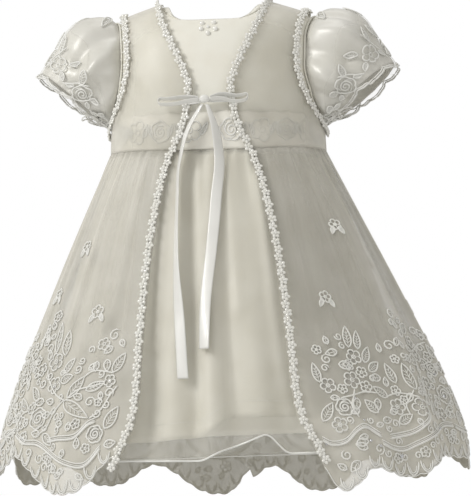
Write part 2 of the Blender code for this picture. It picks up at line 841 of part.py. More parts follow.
def build_knot(centre):
    mesh = bpy.data.meshes.new("ribbon_knot")
    body = bmesh.new()
    bmesh.ops.create_cube(body, size=1.0)
    bmesh.ops.scale(body, vec=KNOT_CAGE, verts=body.verts)
    body.to_mesh(mesh)
    body.free()
    mesh.shade_smooth()
    mesh.materials.append(material("ribbon"))
    knot = link(bpy.data.objects.new("ribbon_knot", mesh))
    knot.location = hang(centre)
    rounding = knot.modifiers.new("rounding", "SUBSURF")
    rounding.levels = rounding.render_levels = 2


def loop_line(reach_out):
    """The side view of a loop: distance out from the knot and depth, out along one layer and back along the other."""
    straight = reach_out - LOOP_RADIUS
    leg = [(0.0, LOOP_ROOT), (straight * 0.35, lerp(LOOP_ROOT, LOOP_RADIUS, 0.8)), (straight * 0.7, LOOP_RADIUS)]
    turns = [math.radians(a) for a in (-90, -60, -30, 0, 30, 60, 90)]
    tip = [(straight + LOOP_RADIUS * math.cos(a), LOOP_RADIUS * math.sin(a)) for a in turns]
    return [(out, -depth) for out, depth in leg] + tip + [(out, depth) for out, depth in reversed(leg)]


def build_loop(name, centre, side, reach_out, rise, twist):
    """A flat loop of the bow: out from the knot and back, with a little space between its two layers."""
    middles, widths, across = [], [], []
    for out, depth in loop_line(reach_out):
        share = out / reach_out
        middles.append(centre + np.array([side * (KNOT_HALF + SEAM_GAP + out), depth, rise * share]))
        across.append(unit(np.array([side * twist * math.sin(3 * share), 0.0, 1.0])))
        widths.append(lerp(LOOP_ROOT_WIDTH, LOOP_WIDTH, min(1.0, share * 2)))
    ribbon_strip(name, middles, widths, across, offset=0)


def hanging_y(x, z, clear):
    """Where a tail hangs at a height, in front of the trims above the waist and of the overskirt below it."""
    if z > WAIST_Z:
        return torso(FRONT, torso_angle(x, z), z)[1] - TRIM_OUT - clear
    degrees = math.degrees(math.asin(x / smooth_at(UNDERSKIRT, z)[0]))
    hold = lerp(TRIM_OUT, OVER_OUT_HEM, min(1.0, (WAIST_Z - z) / 0.05))
    return skirt_point(UNDERSKIRT, SKIRT_FOLDS, degrees, z)[1] - hold - clear


def build_tail(name, table, centre):
    top = table[-1][0]
    middles, widths, across = [], [], []
    for z in np.linspace(top, table[0][0], 17):
        x, degrees = smooth_at(table, z)
        turn = math.radians(degrees)
        clear = abs(math.sin(turn)) * RIBBON_WIDTH / 2 + TAIL_CLEAR
        hang = min(1.0, (top - z) / TAIL_LEAVE)
        middles.append(np.array([x, lerp(centre[1], hanging_y(x, z, clear), hang), z]))
        across.append(np.array([math.cos(turn), -math.sin(turn), 0.0]))
        widths.append(lerp(0.0035, RIBBON_WIDTH, hang))
    ribbon_strip(name, middles, widths, across)


def build_ribbon():
    face = build_tie()
    centre = np.array([KNOT_X, face - LAYER_GAP - KNOT_DEEP, TIE_Z])
    build_knot(centre)
    build_loop("ribbon_loop_right", centre, -1, 0.0370, -0.0020, 0.0)
    build_loop("ribbon_loop_left", centre, 1, 0.0345, 0.0015, 0.35)
    build_tail("ribbon_tail_right", TAIL_RIGHT, centre)
    build_tail("ribbon_tail_left", TAIL_LEFT, centre)


def main():
    for obj in list(bpy.data.objects):
        bpy.data.objects.remove(obj)
    bpy.context.scene.collection.children.link(bpy.data.collections.new("christening_gown"))
    build_bodice()
    build_waist_lace()
    build_sleeves()
    build_dress_skirts()
    skirts = build_coat_skirt()
    coat_front, coat_back = build_coat_bodice()
    build_front_trims(coat_front, skirts)
    build_armhole_trims()
    build_neck_trim(coat_back)
    build_ribbon()


main()
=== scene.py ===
"""Looks of the christening gown: thin cloth, lace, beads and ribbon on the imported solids' own shapes.

Lengths are in metres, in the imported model's frame: the front faces -Y, +X is the wearer's left, +Z is up.
"""

import functools
import math

import bpy
import numpy as np
from mathutils import Matrix, Vector


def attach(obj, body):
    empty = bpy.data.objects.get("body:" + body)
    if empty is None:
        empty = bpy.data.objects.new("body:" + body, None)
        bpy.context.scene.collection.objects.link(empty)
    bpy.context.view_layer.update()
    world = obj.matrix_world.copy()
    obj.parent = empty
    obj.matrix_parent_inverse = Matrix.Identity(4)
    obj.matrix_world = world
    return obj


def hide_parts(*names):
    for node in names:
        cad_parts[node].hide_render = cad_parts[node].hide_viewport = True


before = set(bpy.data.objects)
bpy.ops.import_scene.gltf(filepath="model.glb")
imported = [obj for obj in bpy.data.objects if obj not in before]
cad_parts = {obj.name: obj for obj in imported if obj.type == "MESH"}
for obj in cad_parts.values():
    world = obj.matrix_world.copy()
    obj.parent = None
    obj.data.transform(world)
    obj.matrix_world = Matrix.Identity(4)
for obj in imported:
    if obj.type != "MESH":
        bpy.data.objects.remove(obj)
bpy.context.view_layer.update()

# The camera of the photograph
CAMERA_AZIMUTH = 5.7
CAMERA_ELEVATION = -8.0
CAMERA_ROLL = -0.44
CAMERA_ACROSS = 0.0171
CAMERA_UP = -0.0012
CAMERA_TARGET_Z = -0.23
CAMERA_DISTANCE = 1.6
CAMERA_LENS = 130.85
SENSOR_WIDTH = 36.0
FLOOR_Z = -0.80

# Cloth and seams
WALL = 0.0010
SEAM_GAP = 0.0003
SEAM_HALF = 0.0004
LAYER_GAP = 0.0004

# Neck, shoulders and armholes
NECK_HALF = 0.051
FRONT_NECK_DROP = 0.024
BACK_NECK_DROP = 0.010
NECK_CURVE = 5
SHOULDER_HALF = 0.097
SHOULDER_DROP = 0.014
SHOULDER_ROLL = 0.040
UNDERARM_Z = -0.114
ARM_INSET = 0.0125
ARM_TOP_POWER = 0.5
ARM_BASE_POWER = 1.2
ARM_MID = (UNDERARM_Z - SHOULDER_DROP) / 2
ARM_HALF = (-SHOULDER_DROP - UNDERARM_Z) / 2
WAIST_Z = -0.144

# How the worn gown hangs: a slight lean, the skirt swung to the wearer's left, the waist low in front
LEAN = 0.015
SWING = 0.028
WAIST_DIP = 0.006
DIP_DEPTH = 0.065
DIP_REACH = 0.045

# Layers over the satin bodice, each as the distance of its outer face from the bodice's outer face
BAND_OUT = LAYER_GAP + WALL
COAT_OUT = BAND_OUT + 0.0007 + WALL
TRIM_WALL = 0.0012
TRIM_OUT = COAT_OUT + 0.0006 + TRIM_WALL
BORDER_OUT = 0.0006 + WALL
COAT_ARM_MARGIN = 0.006
TRIM_WIDTH = 0.007
ARM_TRIM_COLUMNS = 32
NECK_TRIM_LIFT = 0.0004
BAND_TOP_Z = -0.111
BAND_SIDE_Z = -0.124
BAND_SCALLOP = 0.0015
BAND_RISE_FROM = 68
BAND_RISE_OVER = 16

# Sleeves
CUFF_CENTRE = np.array([0.1375, -0.001, -0.0857])
CUFF_UP = np.array([0.77, 0.0, 0.638])
CUFF_HALF_HEIGHT = 0.0360
CUFF_HALF_DEPTH = 0.034
UNDERSIDE_SWELL = 0.10
SLEEVE_COLUMNS = 26
CAP_GATHER = 0.0011
CUFF_GATHER = 0.0009
PIPING_RADIUS = 0.0009
CUFF_LACE_DROP = 0.0065
CUFF_SCALLOPS = 7

# Skirts
SKIRT_DROP = 0.30
OVER_OUT_HEM = 0.0050
COAT_CORNER_Z = -0.430
SCALLOP_ROUND = 1.35
FRONT, BACK = -1, 1
BLUNT = 2 / 2.4

# Ribbon
RIBBON_WIDTH = 0.010
RIBBON_WALL = 0.0010
LOOP_WIDTH = 0.0075
LOOP_RADIUS = 0.0018
LOOP_ROOT = 0.0013
LOOP_ROOT_WIDTH = 0.0045
TIE_Z = -0.1030
TIE_HALF = 0.0235
TIE_WIDTH = 0.006
TIE_GAP = 0.0006
KNOT_X = -0.0041
KNOT_CAGE = (0.0115, 0.0075, 0.0095)
KNOT_HALF = 0.0049
KNOT_DEEP = 0.0032
TAIL_CLEAR = 0.0009
TAIL_LEAVE = 0.025

# Half width, front depth and back depth of the satin bodice at each height
TORSO = (
    (-0.144, 0.0985, 0.0650, 0.0565),
    (-0.114, 0.0975, 0.0660, 0.0575),
    (-0.080, 0.0978, 0.0645, 0.0565),
    (-0.045, 0.0975, 0.0580, 0.0520),
    (-0.017, 0.0965, 0.0500, 0.0450),
    (0.000, 0.0960, 0.0460, 0.0410),
)

# Half width, front depth and back depth of the satin underskirt at each height
UNDERSKIRT = (
    (-0.440, 0.1765, 0.1300, 0.1320),
    (-0.350, 0.1580, 0.1150, 0.1150),
    (-0.275, 0.1390, 0.0985, 0.0960),
    (-0.200, 0.1165, 0.0800, 0.0740),
    (-0.144, 0.0985, 0.0650, 0.0565),
)

# Half width, front depth and back depth of the coat's skirt at each height
COAT_SKIRT = (
    (-0.470, 0.2160, 0.1495, 0.1670),
    (-0.413, 0.2115, 0.1440, 0.1580),
    (-0.350, 0.1925, 0.1300, 0.1380),
    (-0.275, 0.1610, 0.1095, 0.1110),
    (-0.200, 0.1275, 0.0868, 0.0825),
    (-0.144, 0.1016, 0.0681, 0.0596),
)

# Distance from the centre front of the coat's open edge at each height
COAT_EDGE = (
    (-0.440, 0.0890),
    (-0.420, 0.0805),
    (-0.400, 0.0705),
    (-0.375, 0.0650),
    (-0.340, 0.0625),
    (-0.300, 0.0590),
    (-0.260, 0.0550),
    (-0.225, 0.0500),
    (-0.190, 0.0437),
    (-0.165, 0.0385),
    (-0.144, 0.0315),
    (-0.128, 0.0232),
    (-0.112, 0.0180),
    (-0.098, 0.0153),
    (-0.085, 0.0165),
    (-0.068, 0.0230),
    (-0.050, 0.0310),
    (-0.024, 0.0425),
    (0.000, 0.0495),
)

# Angle, half width in degrees and height of each fold in the dress's skirt, from the centre front
SKIRT_FOLDS = (
    (-78, 8, 0.0050),
    (-60, 9, 0.0070),
    (-41, 8, 0.0055),
    (-27, 7, 0.0080),
    (-13, 7, 0.0060),
    (-1, 6, 0.0085),
    (13, 8, 0.0050),
    (27, 7, 0.0085),
    (43, 9, 0.0060),
    (61, 8, 0.0070),
    (78, 8, 0.0045),
    (103, 9, 0.0060),
    (122, 8, 0.0050),
    (140, 9, 0.0070),
    (160, 9, 0.0055),
    (179, 8, 0.0070),
    (-162, 8, 0.0050),
    (-143, 9, 0.0065),
    (-122, 9, 0.0055),
    (-103, 8, 0.0060),
)

# Angle, half width in degrees and height of each fold in the coat's skirt, from the centre front
COAT_FOLDS = (
    (36, 10, 0.0050),
    (56, 9, 0.0075),
    (75, 9, 0.0045),
    (-38, 9, 0.0065),
    (-58, 10, 0.0045),
    (-76, 9, 0.0060),
    (106, 12, 0.0060),
    (130, 11, 0.0080),
    (156, 12, 0.0055),
    (179, 10, 0.0080),
    (-155, 11, 0.0060),
    (-131, 12, 0.0075),
    (-107, 11, 0.0055),
)

# Angle from the centre front and height of the overskirt's hem
OVER_HEM = (
    (-180, -0.4220),
    (-90, -0.4240),
    (-55, -0.4270),
    (-28, -0.4285),
    (-4, -0.4310),
    (1, -0.4235),
    (8, -0.4165),
    (14, -0.4095),
    (19, -0.4270),
    (45, -0.4270),
    (90, -0.4240),
    (180, -0.4220),
)

# Angle from the centre front and height of the satin underskirt's hem
UNDER_HEM = (
    (-180, -0.4010),
    (-90, -0.4060),
    (-45, -0.4125),
    (-20, -0.4128),
    (-4, -0.4103),
    (4, -0.3942),
    (22, -0.3955),
    (45, -0.3990),
    (90, -0.4030),
    (180, -0.4010),
)

# Angle from the centre front and height of each high and low point of the coat's scalloped hem in turn
COAT_HEM = (
    (-181, -0.4330),
    (-172, -0.4590),
    (-154, -0.4280),
    (-140, -0.4470),
    (-126, -0.4270),
    (-111, -0.4440),
    (-97, -0.4180),
    (-80, -0.4350),
    (-61, -0.4210),
    (-38, -0.4550),
    (-24, -0.4260),
    (24, -0.4400),
    (29, -0.4600),
    (37, -0.4420),
    (48, -0.4500),
    (62, -0.4330),
    (75, -0.4350),
    (90, -0.4160),
    (103, -0.4440),
    (117, -0.4270),
    (131, -0.4500),
    (146, -0.4300),
    (161, -0.4590),
    (174, -0.4330),
    (188, -0.4590),
)

# Angle from the centre front and share of the skirt's height at which the lace border's top lies
LACE_TOP = (
    (22, 0.610),
    (33, 0.550),
    (43, 0.650),
    (58, 0.515),
    (66, 0.600),
    (73, 0.545),
    (84, 0.650),
    (100, 0.520),
    (113, 0.650),
    (121, 0.570),
    (131, 0.650),
    (146, 0.520),
    (159, 0.650),
    (168, 0.570),
    (180, 0.620),
)

# Share of the way from armhole to cuff, and how far the top of the sleeve swells there
SLEEVE = (
    (0.00, 0.0000),
    (0.06, 0.0070),
    (0.13, 0.0130),
    (0.24, 0.0190),
    (0.38, 0.0235),
    (0.54, 0.0215),
    (0.70, 0.0135),
    (0.85, 0.0080),
    (1.00, 0.0030),
)

# Height, distance from the centre front and turn in degrees of each ribbon tail's middle line
TAIL_RIGHT = (
    (-0.360, -0.0280, 12),
    (-0.310, -0.0300, 20),
    (-0.260, -0.0325, 55),
    (-0.200, -0.0312, 68),
    (-0.155, -0.0282, 66),
    (-0.125, -0.0190, 50),
    (-0.1075, -0.0068, 20),
)
TAIL_LEFT = (
    (-0.335, -0.0090, 28),
    (-0.290, -0.0065, 12),
    (-0.250, -0.0012, 4),
    (-0.195, 0.0048, -14),
    (-0.152, 0.0085, -34),
    (-0.125, 0.0050, -40),
    (-0.1075, -0.0015, -20),
)


# Soft lines over the dress's bodice: x and height at each end, width and height of the line
BODICE_LINES = (
    (-0.052, -0.060, -0.020, -0.138, 0.0060, 0.0005),
    (0.048, -0.050, 0.022, -0.136, 0.0065, 0.0005),
    (-0.010, -0.120, 0.010, -0.140, 0.0050, 0.0004),
)

# Lace at the head of each sleeve: turn in degrees, share of the way to the cuff, radius in mm, turn of the flower
SLEEVE_FLOWERS = (
    (-14.0, 0.20, 5.8, 30),
    (-48.0, 0.18, 5.0, 10),
)
SLEEVE_LEAVES = (
    (20.0, 0.08, 42.0, 0.20, 3.4),
    (4.0, 0.28, 0.0, 0.46, 3.2),
    (-28.0, 0.26, -36.0, 0.42, 3.0),
)

# Beads of the flower under the dress's neckline: x, height and radius
NECK_FLOWER = (
    (-0.0074, -0.0292, 0.0025),
    (0.0034, -0.0288, 0.0026),
    (-0.0080, -0.0352, 0.0024),
    (0.0052, -0.0358, 0.0026),
    (-0.0018, -0.0398, 0.0025),
    (-0.0018, -0.0332, 0.0018),
)

# Studio light
WORLD_LIGHT = 0.47
KEY_POWER = 27.0
FILL_POWER = 3.2
TOP_POWER = 3.0

# Thin cloth
SATIN_SHELL = 0.0005
SHEER_SHELL = 0.0003

# Soft lines in the coat's skirt: angle and height at each end, width and height of the line
COAT_LINES = (
    (-30, -0.150, -31, -0.300, 0.0060, 0.0016),
    (-47, -0.160, -49, -0.330, 0.0070, 0.0020),
    (-64, -0.150, -70, -0.400, 0.0080, 0.0022),
    (-83, -0.170, -86, -0.420, 0.0080, -0.0020),
    (-38, -0.200, -36, -0.420, 0.0070, -0.0014),
    (-55, -0.250, -58, -0.430, 0.0080, -0.0018),
    (28, -0.150, 30, -0.330, 0.0060, 0.0016),
    (44, -0.150, 46, -0.300, 0.0060, -0.0014),
    (50, -0.170, 55, -0.400, 0.0080, 0.0022),
    (66, -0.155, 68, -0.350, 0.0070, -0.0018),
    (74, -0.160, 80, -0.420, 0.0080, 0.0020),
    (36, -0.290, 38, -0.440, 0.0070, -0.0020),
    (112, -0.150, 116, -0.380, 0.0080, 0.0022),
    (137, -0.160, 143, -0.430, 0.0080, -0.0022),
    (166, -0.150, 170, -0.350, 0.0070, 0.0020),
    (-170, -0.160, -172, -0.420, 0.0080, -0.0022),
    (-146, -0.150, -150, -0.360, 0.0070, 0.0020),
    (-118, -0.160, -122, -0.430, 0.0080, 0.0020),
)

# Soft lines in the dress's skirt
DRESS_LINES = (
    (-18, -0.150, -20, -0.330, 0.0050, 0.0020),
    (-8, -0.160, -7, -0.400, 0.0055, -0.0022),
    (6, -0.150, 8, -0.300, 0.0050, 0.0020),
    (3, -0.270, 5, -0.420, 0.0060, -0.0020),
    (19, -0.170, 21, -0.410, 0.0060, 0.0034),
    (-30, -0.200, -33, -0.420, 0.0060, 0.0018),
    (34, -0.160, 36, -0.380, 0.0060, -0.0018),
    (52, -0.180, 54, -0.420, 0.0070, 0.0016),
    (-50, -0.180, -52, -0.420, 0.0070, 0.0016),
    (-70, -0.180, -72, -0.420, 0.0070, -0.0016),
    (70, -0.180, 72, -0.420, 0.0070, -0.0016),
    (110, -0.180, 113, -0.420, 0.0080, 0.0020),
    (150, -0.180, 148, -0.420, 0.0080, -0.0020),
    (-150, -0.180, -153, -0.420, 0.0080, 0.0020),
    (-112, -0.180, -115, -0.420, 0.0080, -0.0020),
)

# Soft lines over the coat's chest: x and height at each end, width and height of the line
CHEST_LINES = (
    (0.030, -0.118, 0.070, -0.070, 0.0070, 0.0011),
    (0.042, -0.136, 0.090, -0.112, 0.0060, 0.0013),
    (0.050, -0.120, 0.092, -0.095, 0.0050, -0.0009),
    (0.028, -0.142, 0.060, -0.122, 0.0045, 0.0010),
    (0.062, -0.030, 0.084, -0.055, 0.0080, 0.0009),
    (0.075, -0.060, 0.086, -0.092, 0.0050, -0.0010),
)

# Soft lines on each sleeve: turn in degrees and share of the way to the cuff at each end, width, height
SLEEVE_LINES = {
    "right": (
        (52, 0.10, 66, 0.62, 0.0060, -0.0058),
        (76, 0.14, 88, 0.60, 0.0040, 0.0046),
        (88, 0.60, 108, 0.66, 0.0035, 0.0022),
        (104, 0.06, 100, 0.40, 0.0040, -0.0032),
        (120, 0.10, 126, 0.80, 0.0045, 0.0028),
        (140, 0.10, 150, 0.90, 0.0045, -0.0026),
        (24, 0.05, 30, 0.50, 0.0050, 0.0022),
        (-20, 0.05, -26, 0.60, 0.0060, -0.0026),
        (-50, 0.05, -58, 0.70, 0.0055, 0.0026),
        (-85, 0.05, -90, 0.80, 0.0055, -0.0028),
        (-120, 0.05, -128, 0.90, 0.0050, 0.0024),
        (170, 0.10, 172, 0.90, 0.0045, 0.0018),
    ),
    "left": (
        (58, 0.05, 50, 0.70, 0.0050, 0.0050),
        (78, 0.10, 72, 0.60, 0.0060, -0.0062),
        (34, 0.08, 22, 0.60, 0.0055, -0.0030),
        (98, 0.05, 104, 0.62, 0.0042, 0.0034),
        (118, 0.05, 124, 0.80, 0.0045, -0.0030),
        (136, 0.05, 146, 0.90, 0.0045, 0.0026),
        (8, 0.05, -4, 0.50, 0.0050, 0.0020),
        (-28, 0.05, -34, 0.60, 0.0060, -0.0024),
        (-56, 0.05, -60, 0.70, 0.0055, 0.0026),
        (-90, 0.05, -96, 0.80, 0.0055, -0.0026),
        (-126, 0.05, -132, 0.90, 0.0050, 0.0024),
        (168, 0.10, 176, 0.90, 0.0045, 0.0018),
    ),
}

# Lace on the coat's hem. Flowers and roses: angle, height in mm, radius in mm, turn in degrees
FLOWERS_RIGHT = (
    (-50.0, -339.0, 8.0, 10),
    (-56.3, -345.0, 6.2, 40),
    (-48.0, -360.0, 7.6, 25),
    (-60.5, -391.0, 6.8, 0),
    (-57.0, -404.0, 6.0, 30),
    (-64.5, -411.0, 6.2, 15),
    (-28.0, -359.5, 5.6, 20),
    (-36.0, -395.0, 4.6, 0),
    (-68.5, -352.0, 5.8, 20),
    (-75.5, -415.0, 6.4, 0),
    (-84.0, -380.0, 7.0, 35),
)
ROSES_RIGHT = (
    (-51.8, -388.0, 9.6, 0),
    (-30.2, -404.5, 7.6, 40),
    (-70.5, -384.0, 8.6, 80),
    (-83.0, -404.0, 7.4, 10),
)
FLOWERS_LEFT = (
    (37.8, -345.0, 6.8, 0),
    (35.2, -365.5, 7.6, 25),
    (28.4, -370.0, 6.6, 10),
    (27.4, -338.5, 4.2, 0),
    (63.7, -329.5, 5.8, 20),
    (73.0, -322.0, 5.4, 0),
    (82.0, -329.0, 4.8, 30),
    (64.2, -342.0, 6.4, 40),
    (63.4, -367.5, 6.6, 10),
    (47.7, -389.0, 7.2, 30),
    (54.8, -389.5, 8.2, 0),
    (66.4, -395.0, 6.0, 20),
    (79.5, -352.0, 6.2, 0),
    (29.5, -404.0, 6.6, 0),
)
ROSES_LEFT = (
    (71.4, -377.5, 9.0, 0),
    (70.5, -354.0, 7.0, 60),
    (31.5, -389.0, 7.6, 30),
    (82.0, -398.0, 7.8, 10),
)

# Leaves: angle and height in mm of the base and of the tip, half width in mm
LEAVES_RIGHT = (
    (-50.8, -331.0, -53.2, -304.0, 4.4),
    (-46.6, -334.0, -47.4, -312.0, 4.0),
    (-45.0, -350.0, -40.8, -338.0, 4.2),
    (-45.5, -357.0, -40.0, -353.0, 4.0),
    (-65.5, -348.0, -68.6, -329.0, 3.6),
    (-40.2, -372.5, -36.0, -354.5, 4.6),
    (-41.6, -374.5, -32.6, -390.5, 5.0),
    (-27.5, -352.0, -24.4, -336.0, 4.2),
    (-34.6, -366.5, -29.4, -360.0, 3.6),
    (-27.6, -400.0, -24.4, -382.0, 5.0),
    (-58.0, -381.0, -65.0, -369.0, 4.2),
    (-53.5, -372.0, -58.5, -360.0, 3.8),
    (-75.0, -372.0, -79.5, -352.0, 4.4),
    (-66.0, -398.0, -72.0, -400.0, 3.6),
    (-77.0, -393.0, -83.5, -391.0, 3.8),
    (-48.5, -402.0, -44.0, -412.0, 3.8),
)
LEAVES_LEFT = (
    (37.2, -336.5, 38.0, -317.5, 3.6),
    (39.8, -338.0, 41.2, -321.5, 3.2),
    (40.6, -350.0, 43.6, -336.0, 3.6),
    (41.5, -357.5, 45.6, -349.5, 3.8),
    (26.4, -367.0, 25.4, -350.0, 3.4),
    (25.4, -400.5, 28.6, -385.0, 4.2),
    (54.6, -374.0, 53.2, -350.5, 4.8),
    (49.6, -368.0, 48.0, -350.5, 4.0),
    (47.0, -403.5, 51.5, -396.0, 3.8),
    (61.0, -321.5, 66.0, -312.5, 4.4),
    (45.2, -380.5, 41.2, -371.5, 3.6),
    (59.0, -380.0, 58.5, -362.0, 4.2),
    (60.0, -396.0, 62.5, -383.0, 3.8),
    (76.0, -343.0, 73.5, -331.0, 3.8),
    (76.5, -392.0, 74.5, -404.0, 4.0),
    (40.5, -394.0, 37.6, -383.0, 4.0),
)

# Stems and swags, each a run of angle, height in mm
STEMS_RIGHT = (
    ((-53, -345), (-51.4, -354), (-46.5, -368), (-41.4, -374)),
    ((-41.8, -374), (-45.5, -384), (-47.4, -396), (-50.4, -402)),
    ((-32.4, -391), (-29.4, -384), (-27.2, -372), (-25.4, -364)),
    ((-40.2, -373), (-37.4, -366), (-34.2, -364), (-30.0, -361)),
    ((-36.2, -355), (-33.4, -350), (-30.0, -351), (-27.0, -353)),
    ((-59, -381), (-63, -388), (-66, -398), (-64, -408)),
    ((-70, -360), (-72, -372), (-76, -385), (-82, -392)),
)
STEMS_LEFT = (
    ((31.0, -381), (34.0, -379), (38.0, -376), (42.0, -377)),
    ((35.2, -373), (34.4, -380), (33.4, -388), (34.6, -398)),
    ((54.0, -374), (52.4, -381), (50.6, -388), (51.0, -396)),
    ((45.0, -380), (48.6, -377), (52.0, -378), (55.0, -381)),
    ((66.0, -335), (69.0, -332), (71.4, -330), (74.0, -329)),
    ((62.0, -349), (61.0, -357), (60.4, -366), (58.8, -380)),
    ((74.0, -361), (77.0, -368), (80.0, -380), (81.0, -390)),
)
SWAGS_RIGHT = (
    ((-86, -404), (-80, -414), (-74, -412), (-68, -399), (-63, -399)),
    ((-62, -401), (-56, -409), (-50.2, -411), (-43.3, -421), (-37.6, -429), (-34.0, -432), (-31.6, -429), (-28.4, -417)),
    ((-46.0, -409), (-41.6, -408), (-35.9, -407), (-32.6, -397), (-30.5, -394)),
)
SWAGS_LEFT = (
    ((24.6, -417), (27.0, -421), (30.4, -419), (33.4, -410), (36.0, -407), (40.0, -415)),
    ((40.0, -421), (43.4, -426), (47.0, -427), (51.8, -421.5), (59.2, -412), (65.5, -406), (70.5, -406)),
    ((42.8, -416.5), (50.4, -412.5), (55.2, -403.5), (57.6, -395)),
    ((71.0, -407), (76.0, -411), (82.0, -408), (89.0, -397)),
)

# Clear stones on the lace: angle, height in mm, radius in mm
STONES = (
    (34.7, -381.1, 1.0),
    (35.8, -400.3, 1.2),
    (36.6, -418.0, 1.5),
    (39.3, -422.5, 1.3),
    (45.6, -432.0, 1.9),
    (61.8, -408.5, 1.5),
    (70.7, -379.0, 1.6),
    (64.5, -371.0, 1.0),
    (71.0, -358.5, 1.1),
    (25.4, -420.0, 1.1),
    (-48.0, -361.5, 1.0),
    (-36.0, -395.5, 1.0),
    (-57.2, -405.0, 1.1),
    (-60.8, -376.0, 0.9),
)

# Small loose flowers on the coat's skirt: angle, height in mm, radius in mm, turn in degrees
SPRIGS = (
    (-53.0, -235.0, 5.2, 20),
    (-36.8, -297.5, 6.0, 60),
    (-63.3, -276.0, 5.0, -30),
    (-60.8, -311.5, 4.6, 10),
    (49.0, -222.0, 5.4, 0),
    (34.2, -291.0, 5.6, 40),
    (118.0, -240.0, 5.4, 20),
    (150.0, -285.0, 5.6, 80),
    (178.0, -235.0, 5.4, 0),
    (-152.0, -290.0, 5.6, 30),
    (-122.0, -245.0, 5.2, 60),
    (92.0, -290.0, 5.2, 10),
    (-92.0, -235.0, 5.2, 10),
)

# One repeat of the lace on the back, its angles counted from the middle of a scallop
BACK_REPEATS = (97, 117.5, 138.5, 160.5, -172.0, -147.0, -126.0, -104.0)
BACK_FLOWERS = ((-3.2, -345.0, 7.4, 10), (3.4, -352.0, 6.2, 30), (-6.2, -392.0, 6.6, 0), (6.4, -378.0, 6.6, 20))
BACK_ROSES = ((0.4, -396.0, 8.4, 20),)
BACK_LEAVES = (
    (-3.0, -337.0, -4.2, -314.0, 4.2),
    (1.2, -340.0, 2.6, -320.0, 4.0),
    (4.6, -370.0, 7.6, -356.0, 3.8),
    (-3.8, -372.0, -7.6, -360.0, 4.0),
    (3.4, -404.0, 8.0, -396.0, 3.6),
)
BACK_STEMS = (((-1.0, -352), (0.6, -364), (-0.6, -376), (0.2, -387)), ((-6.0, -385), (-4.4, -378), (-3.6, -370), (-4.0, -362)))
BACK_SWAGS = (((-9.6, -404), (-6.0, -416), (0.0, -424), (6.0, -416), (9.6, -404)),)

# Beaded braid
BRAID_PITCH = 0.0074
PETAL_RADIUS = 0.00185
PETAL_REACH = 0.00245
PETAL_HEIGHT = 0.00095
FLOWER_CENTRE_RADIUS = 0.00105

# Lace cords
CORD = 0.00074
FINE_CORD = 0.00042
HEM_LOOP = 0.0130
HEM_NOTCH = 0.0022
LACE_LIFT = 0.0005
LOOP_OPEN = 0.0019
SMALL_TRIES = 2200


def lerp(start, end, share):
    return start + (end - start) * share


def at(table, where):
    """The other columns of a table at values of its first column, on a smooth curve through its rows."""
    rows = np.array(table, float)
    knots, values = rows[:, 0], rows[:, 1:]
    slopes = np.gradient(values, knots, axis=0)
    where = np.clip(np.asarray(where, float), knots[0], knots[-1])
    i = np.clip(np.searchsorted(knots, where, side="right") - 1, 0, len(knots) - 2)
    span = (knots[i + 1] - knots[i])[..., None]
    t = (where - knots[i])[..., None] / span
    rise = t * t * (3 - 2 * t)
    leave = t * (1 - t) ** 2
    arrive = t * t * (t - 1)
    found = (1 - rise) * values[i] + rise * values[i + 1] + span * (leave * slopes[i] + arrive * slopes[i + 1])
    return np.moveaxis(found, -1, 0)


def signed_power(value, power):
    return np.sign(value) * np.abs(value) ** power


def unit(vectors):
    vectors = np.asarray(vectors, float)
    return vectors / (np.linalg.norm(vectors, axis=-1, keepdims=True) + 1e-15)


def stacked(x, y, z):
    return np.stack(np.broadcast_arrays(x, y, z), axis=-1)


def smooth_step(value):
    value = np.clip(value, 0.0, 1.0)
    return value * value * (3 - 2 * value)


def hang(points):
    """Points moved as the worn gown hangs."""
    x, y, z = np.moveaxis(np.asarray(points, float), -1, 0)
    drop = np.maximum(0.0, WAIST_Z - z)
    front = np.clip(-y / DIP_DEPTH, 0.0, 1.0) ** 2
    dip = WAIST_DIP * front * np.exp(-(((z - WAIST_Z) / DIP_REACH) ** 2))
    tilt = SWING * x * np.minimum(1.0, drop / SKIRT_DROP)
    return np.stack([x - LEAN * z + SWING * drop, y, z + tilt - dip], axis=-1)


def relief(lines, a, b, a_size, b_size=1.0):
    """Height of soft ridges and troughs laid along short lines, at places a, b of a surface."""
    height = np.zeros(np.broadcast_shapes(np.shape(a), np.shape(b)))
    for a0, b0, a1, b1, width, rise in lines:
        off_a, off_b = (a - a0) * a_size, (b - b0) * b_size
        run_a, run_b = (a1 - a0) * a_size, (b1 - b0) * b_size
        share = np.clip((off_a * run_a + off_b * run_b) / (run_a**2 + run_b**2), 0.0, 1.0)
        away = (off_a - share * run_a) ** 2 + (off_b - share * run_b) ** 2
        height = height + rise * np.exp(-away / width**2)
    return height


# The figure under the bodice

def ridge_z(x):
    """Height of the shoulder line at a distance from the centre."""
    return -SHOULDER_DROP * np.maximum(0.0, np.abs(x) - NECK_HALF) / (SHOULDER_HALF - NECK_HALF)


def neck_z(x, drop):
    """Height of the neckline, or of the shoulder line beyond it."""
    share = np.minimum(1.0, np.abs(x) / NECK_HALF)
    return np.where(share >= 1, ridge_z(x), -drop * (1 - share**NECK_CURVE))


def torso(side, angle, z):
    """A point on the bodice's outer face, at an angle from the centre front or centre back."""
    half_width, front, back = at(TORSO, z)
    x = half_width * signed_power(np.sin(angle), BLUNT)
    below = np.clip((ridge_z(x) - z) / SHOULDER_ROLL, 0.0, 1.0)
    roll = np.sqrt(1 - (1 - below) ** 2)
    depth = front if side == FRONT else back
    return stacked(x, side * depth * np.abs(np.cos(angle)) ** BLUNT * roll, z)


def torso_angle(x, z):
    share = np.minimum(1.0, np.abs(x) / at(TORSO, z)[0])
    return np.arcsin(share ** (1 / BLUNT)) * np.where(np.asarray(x) >= 0, 1, -1)


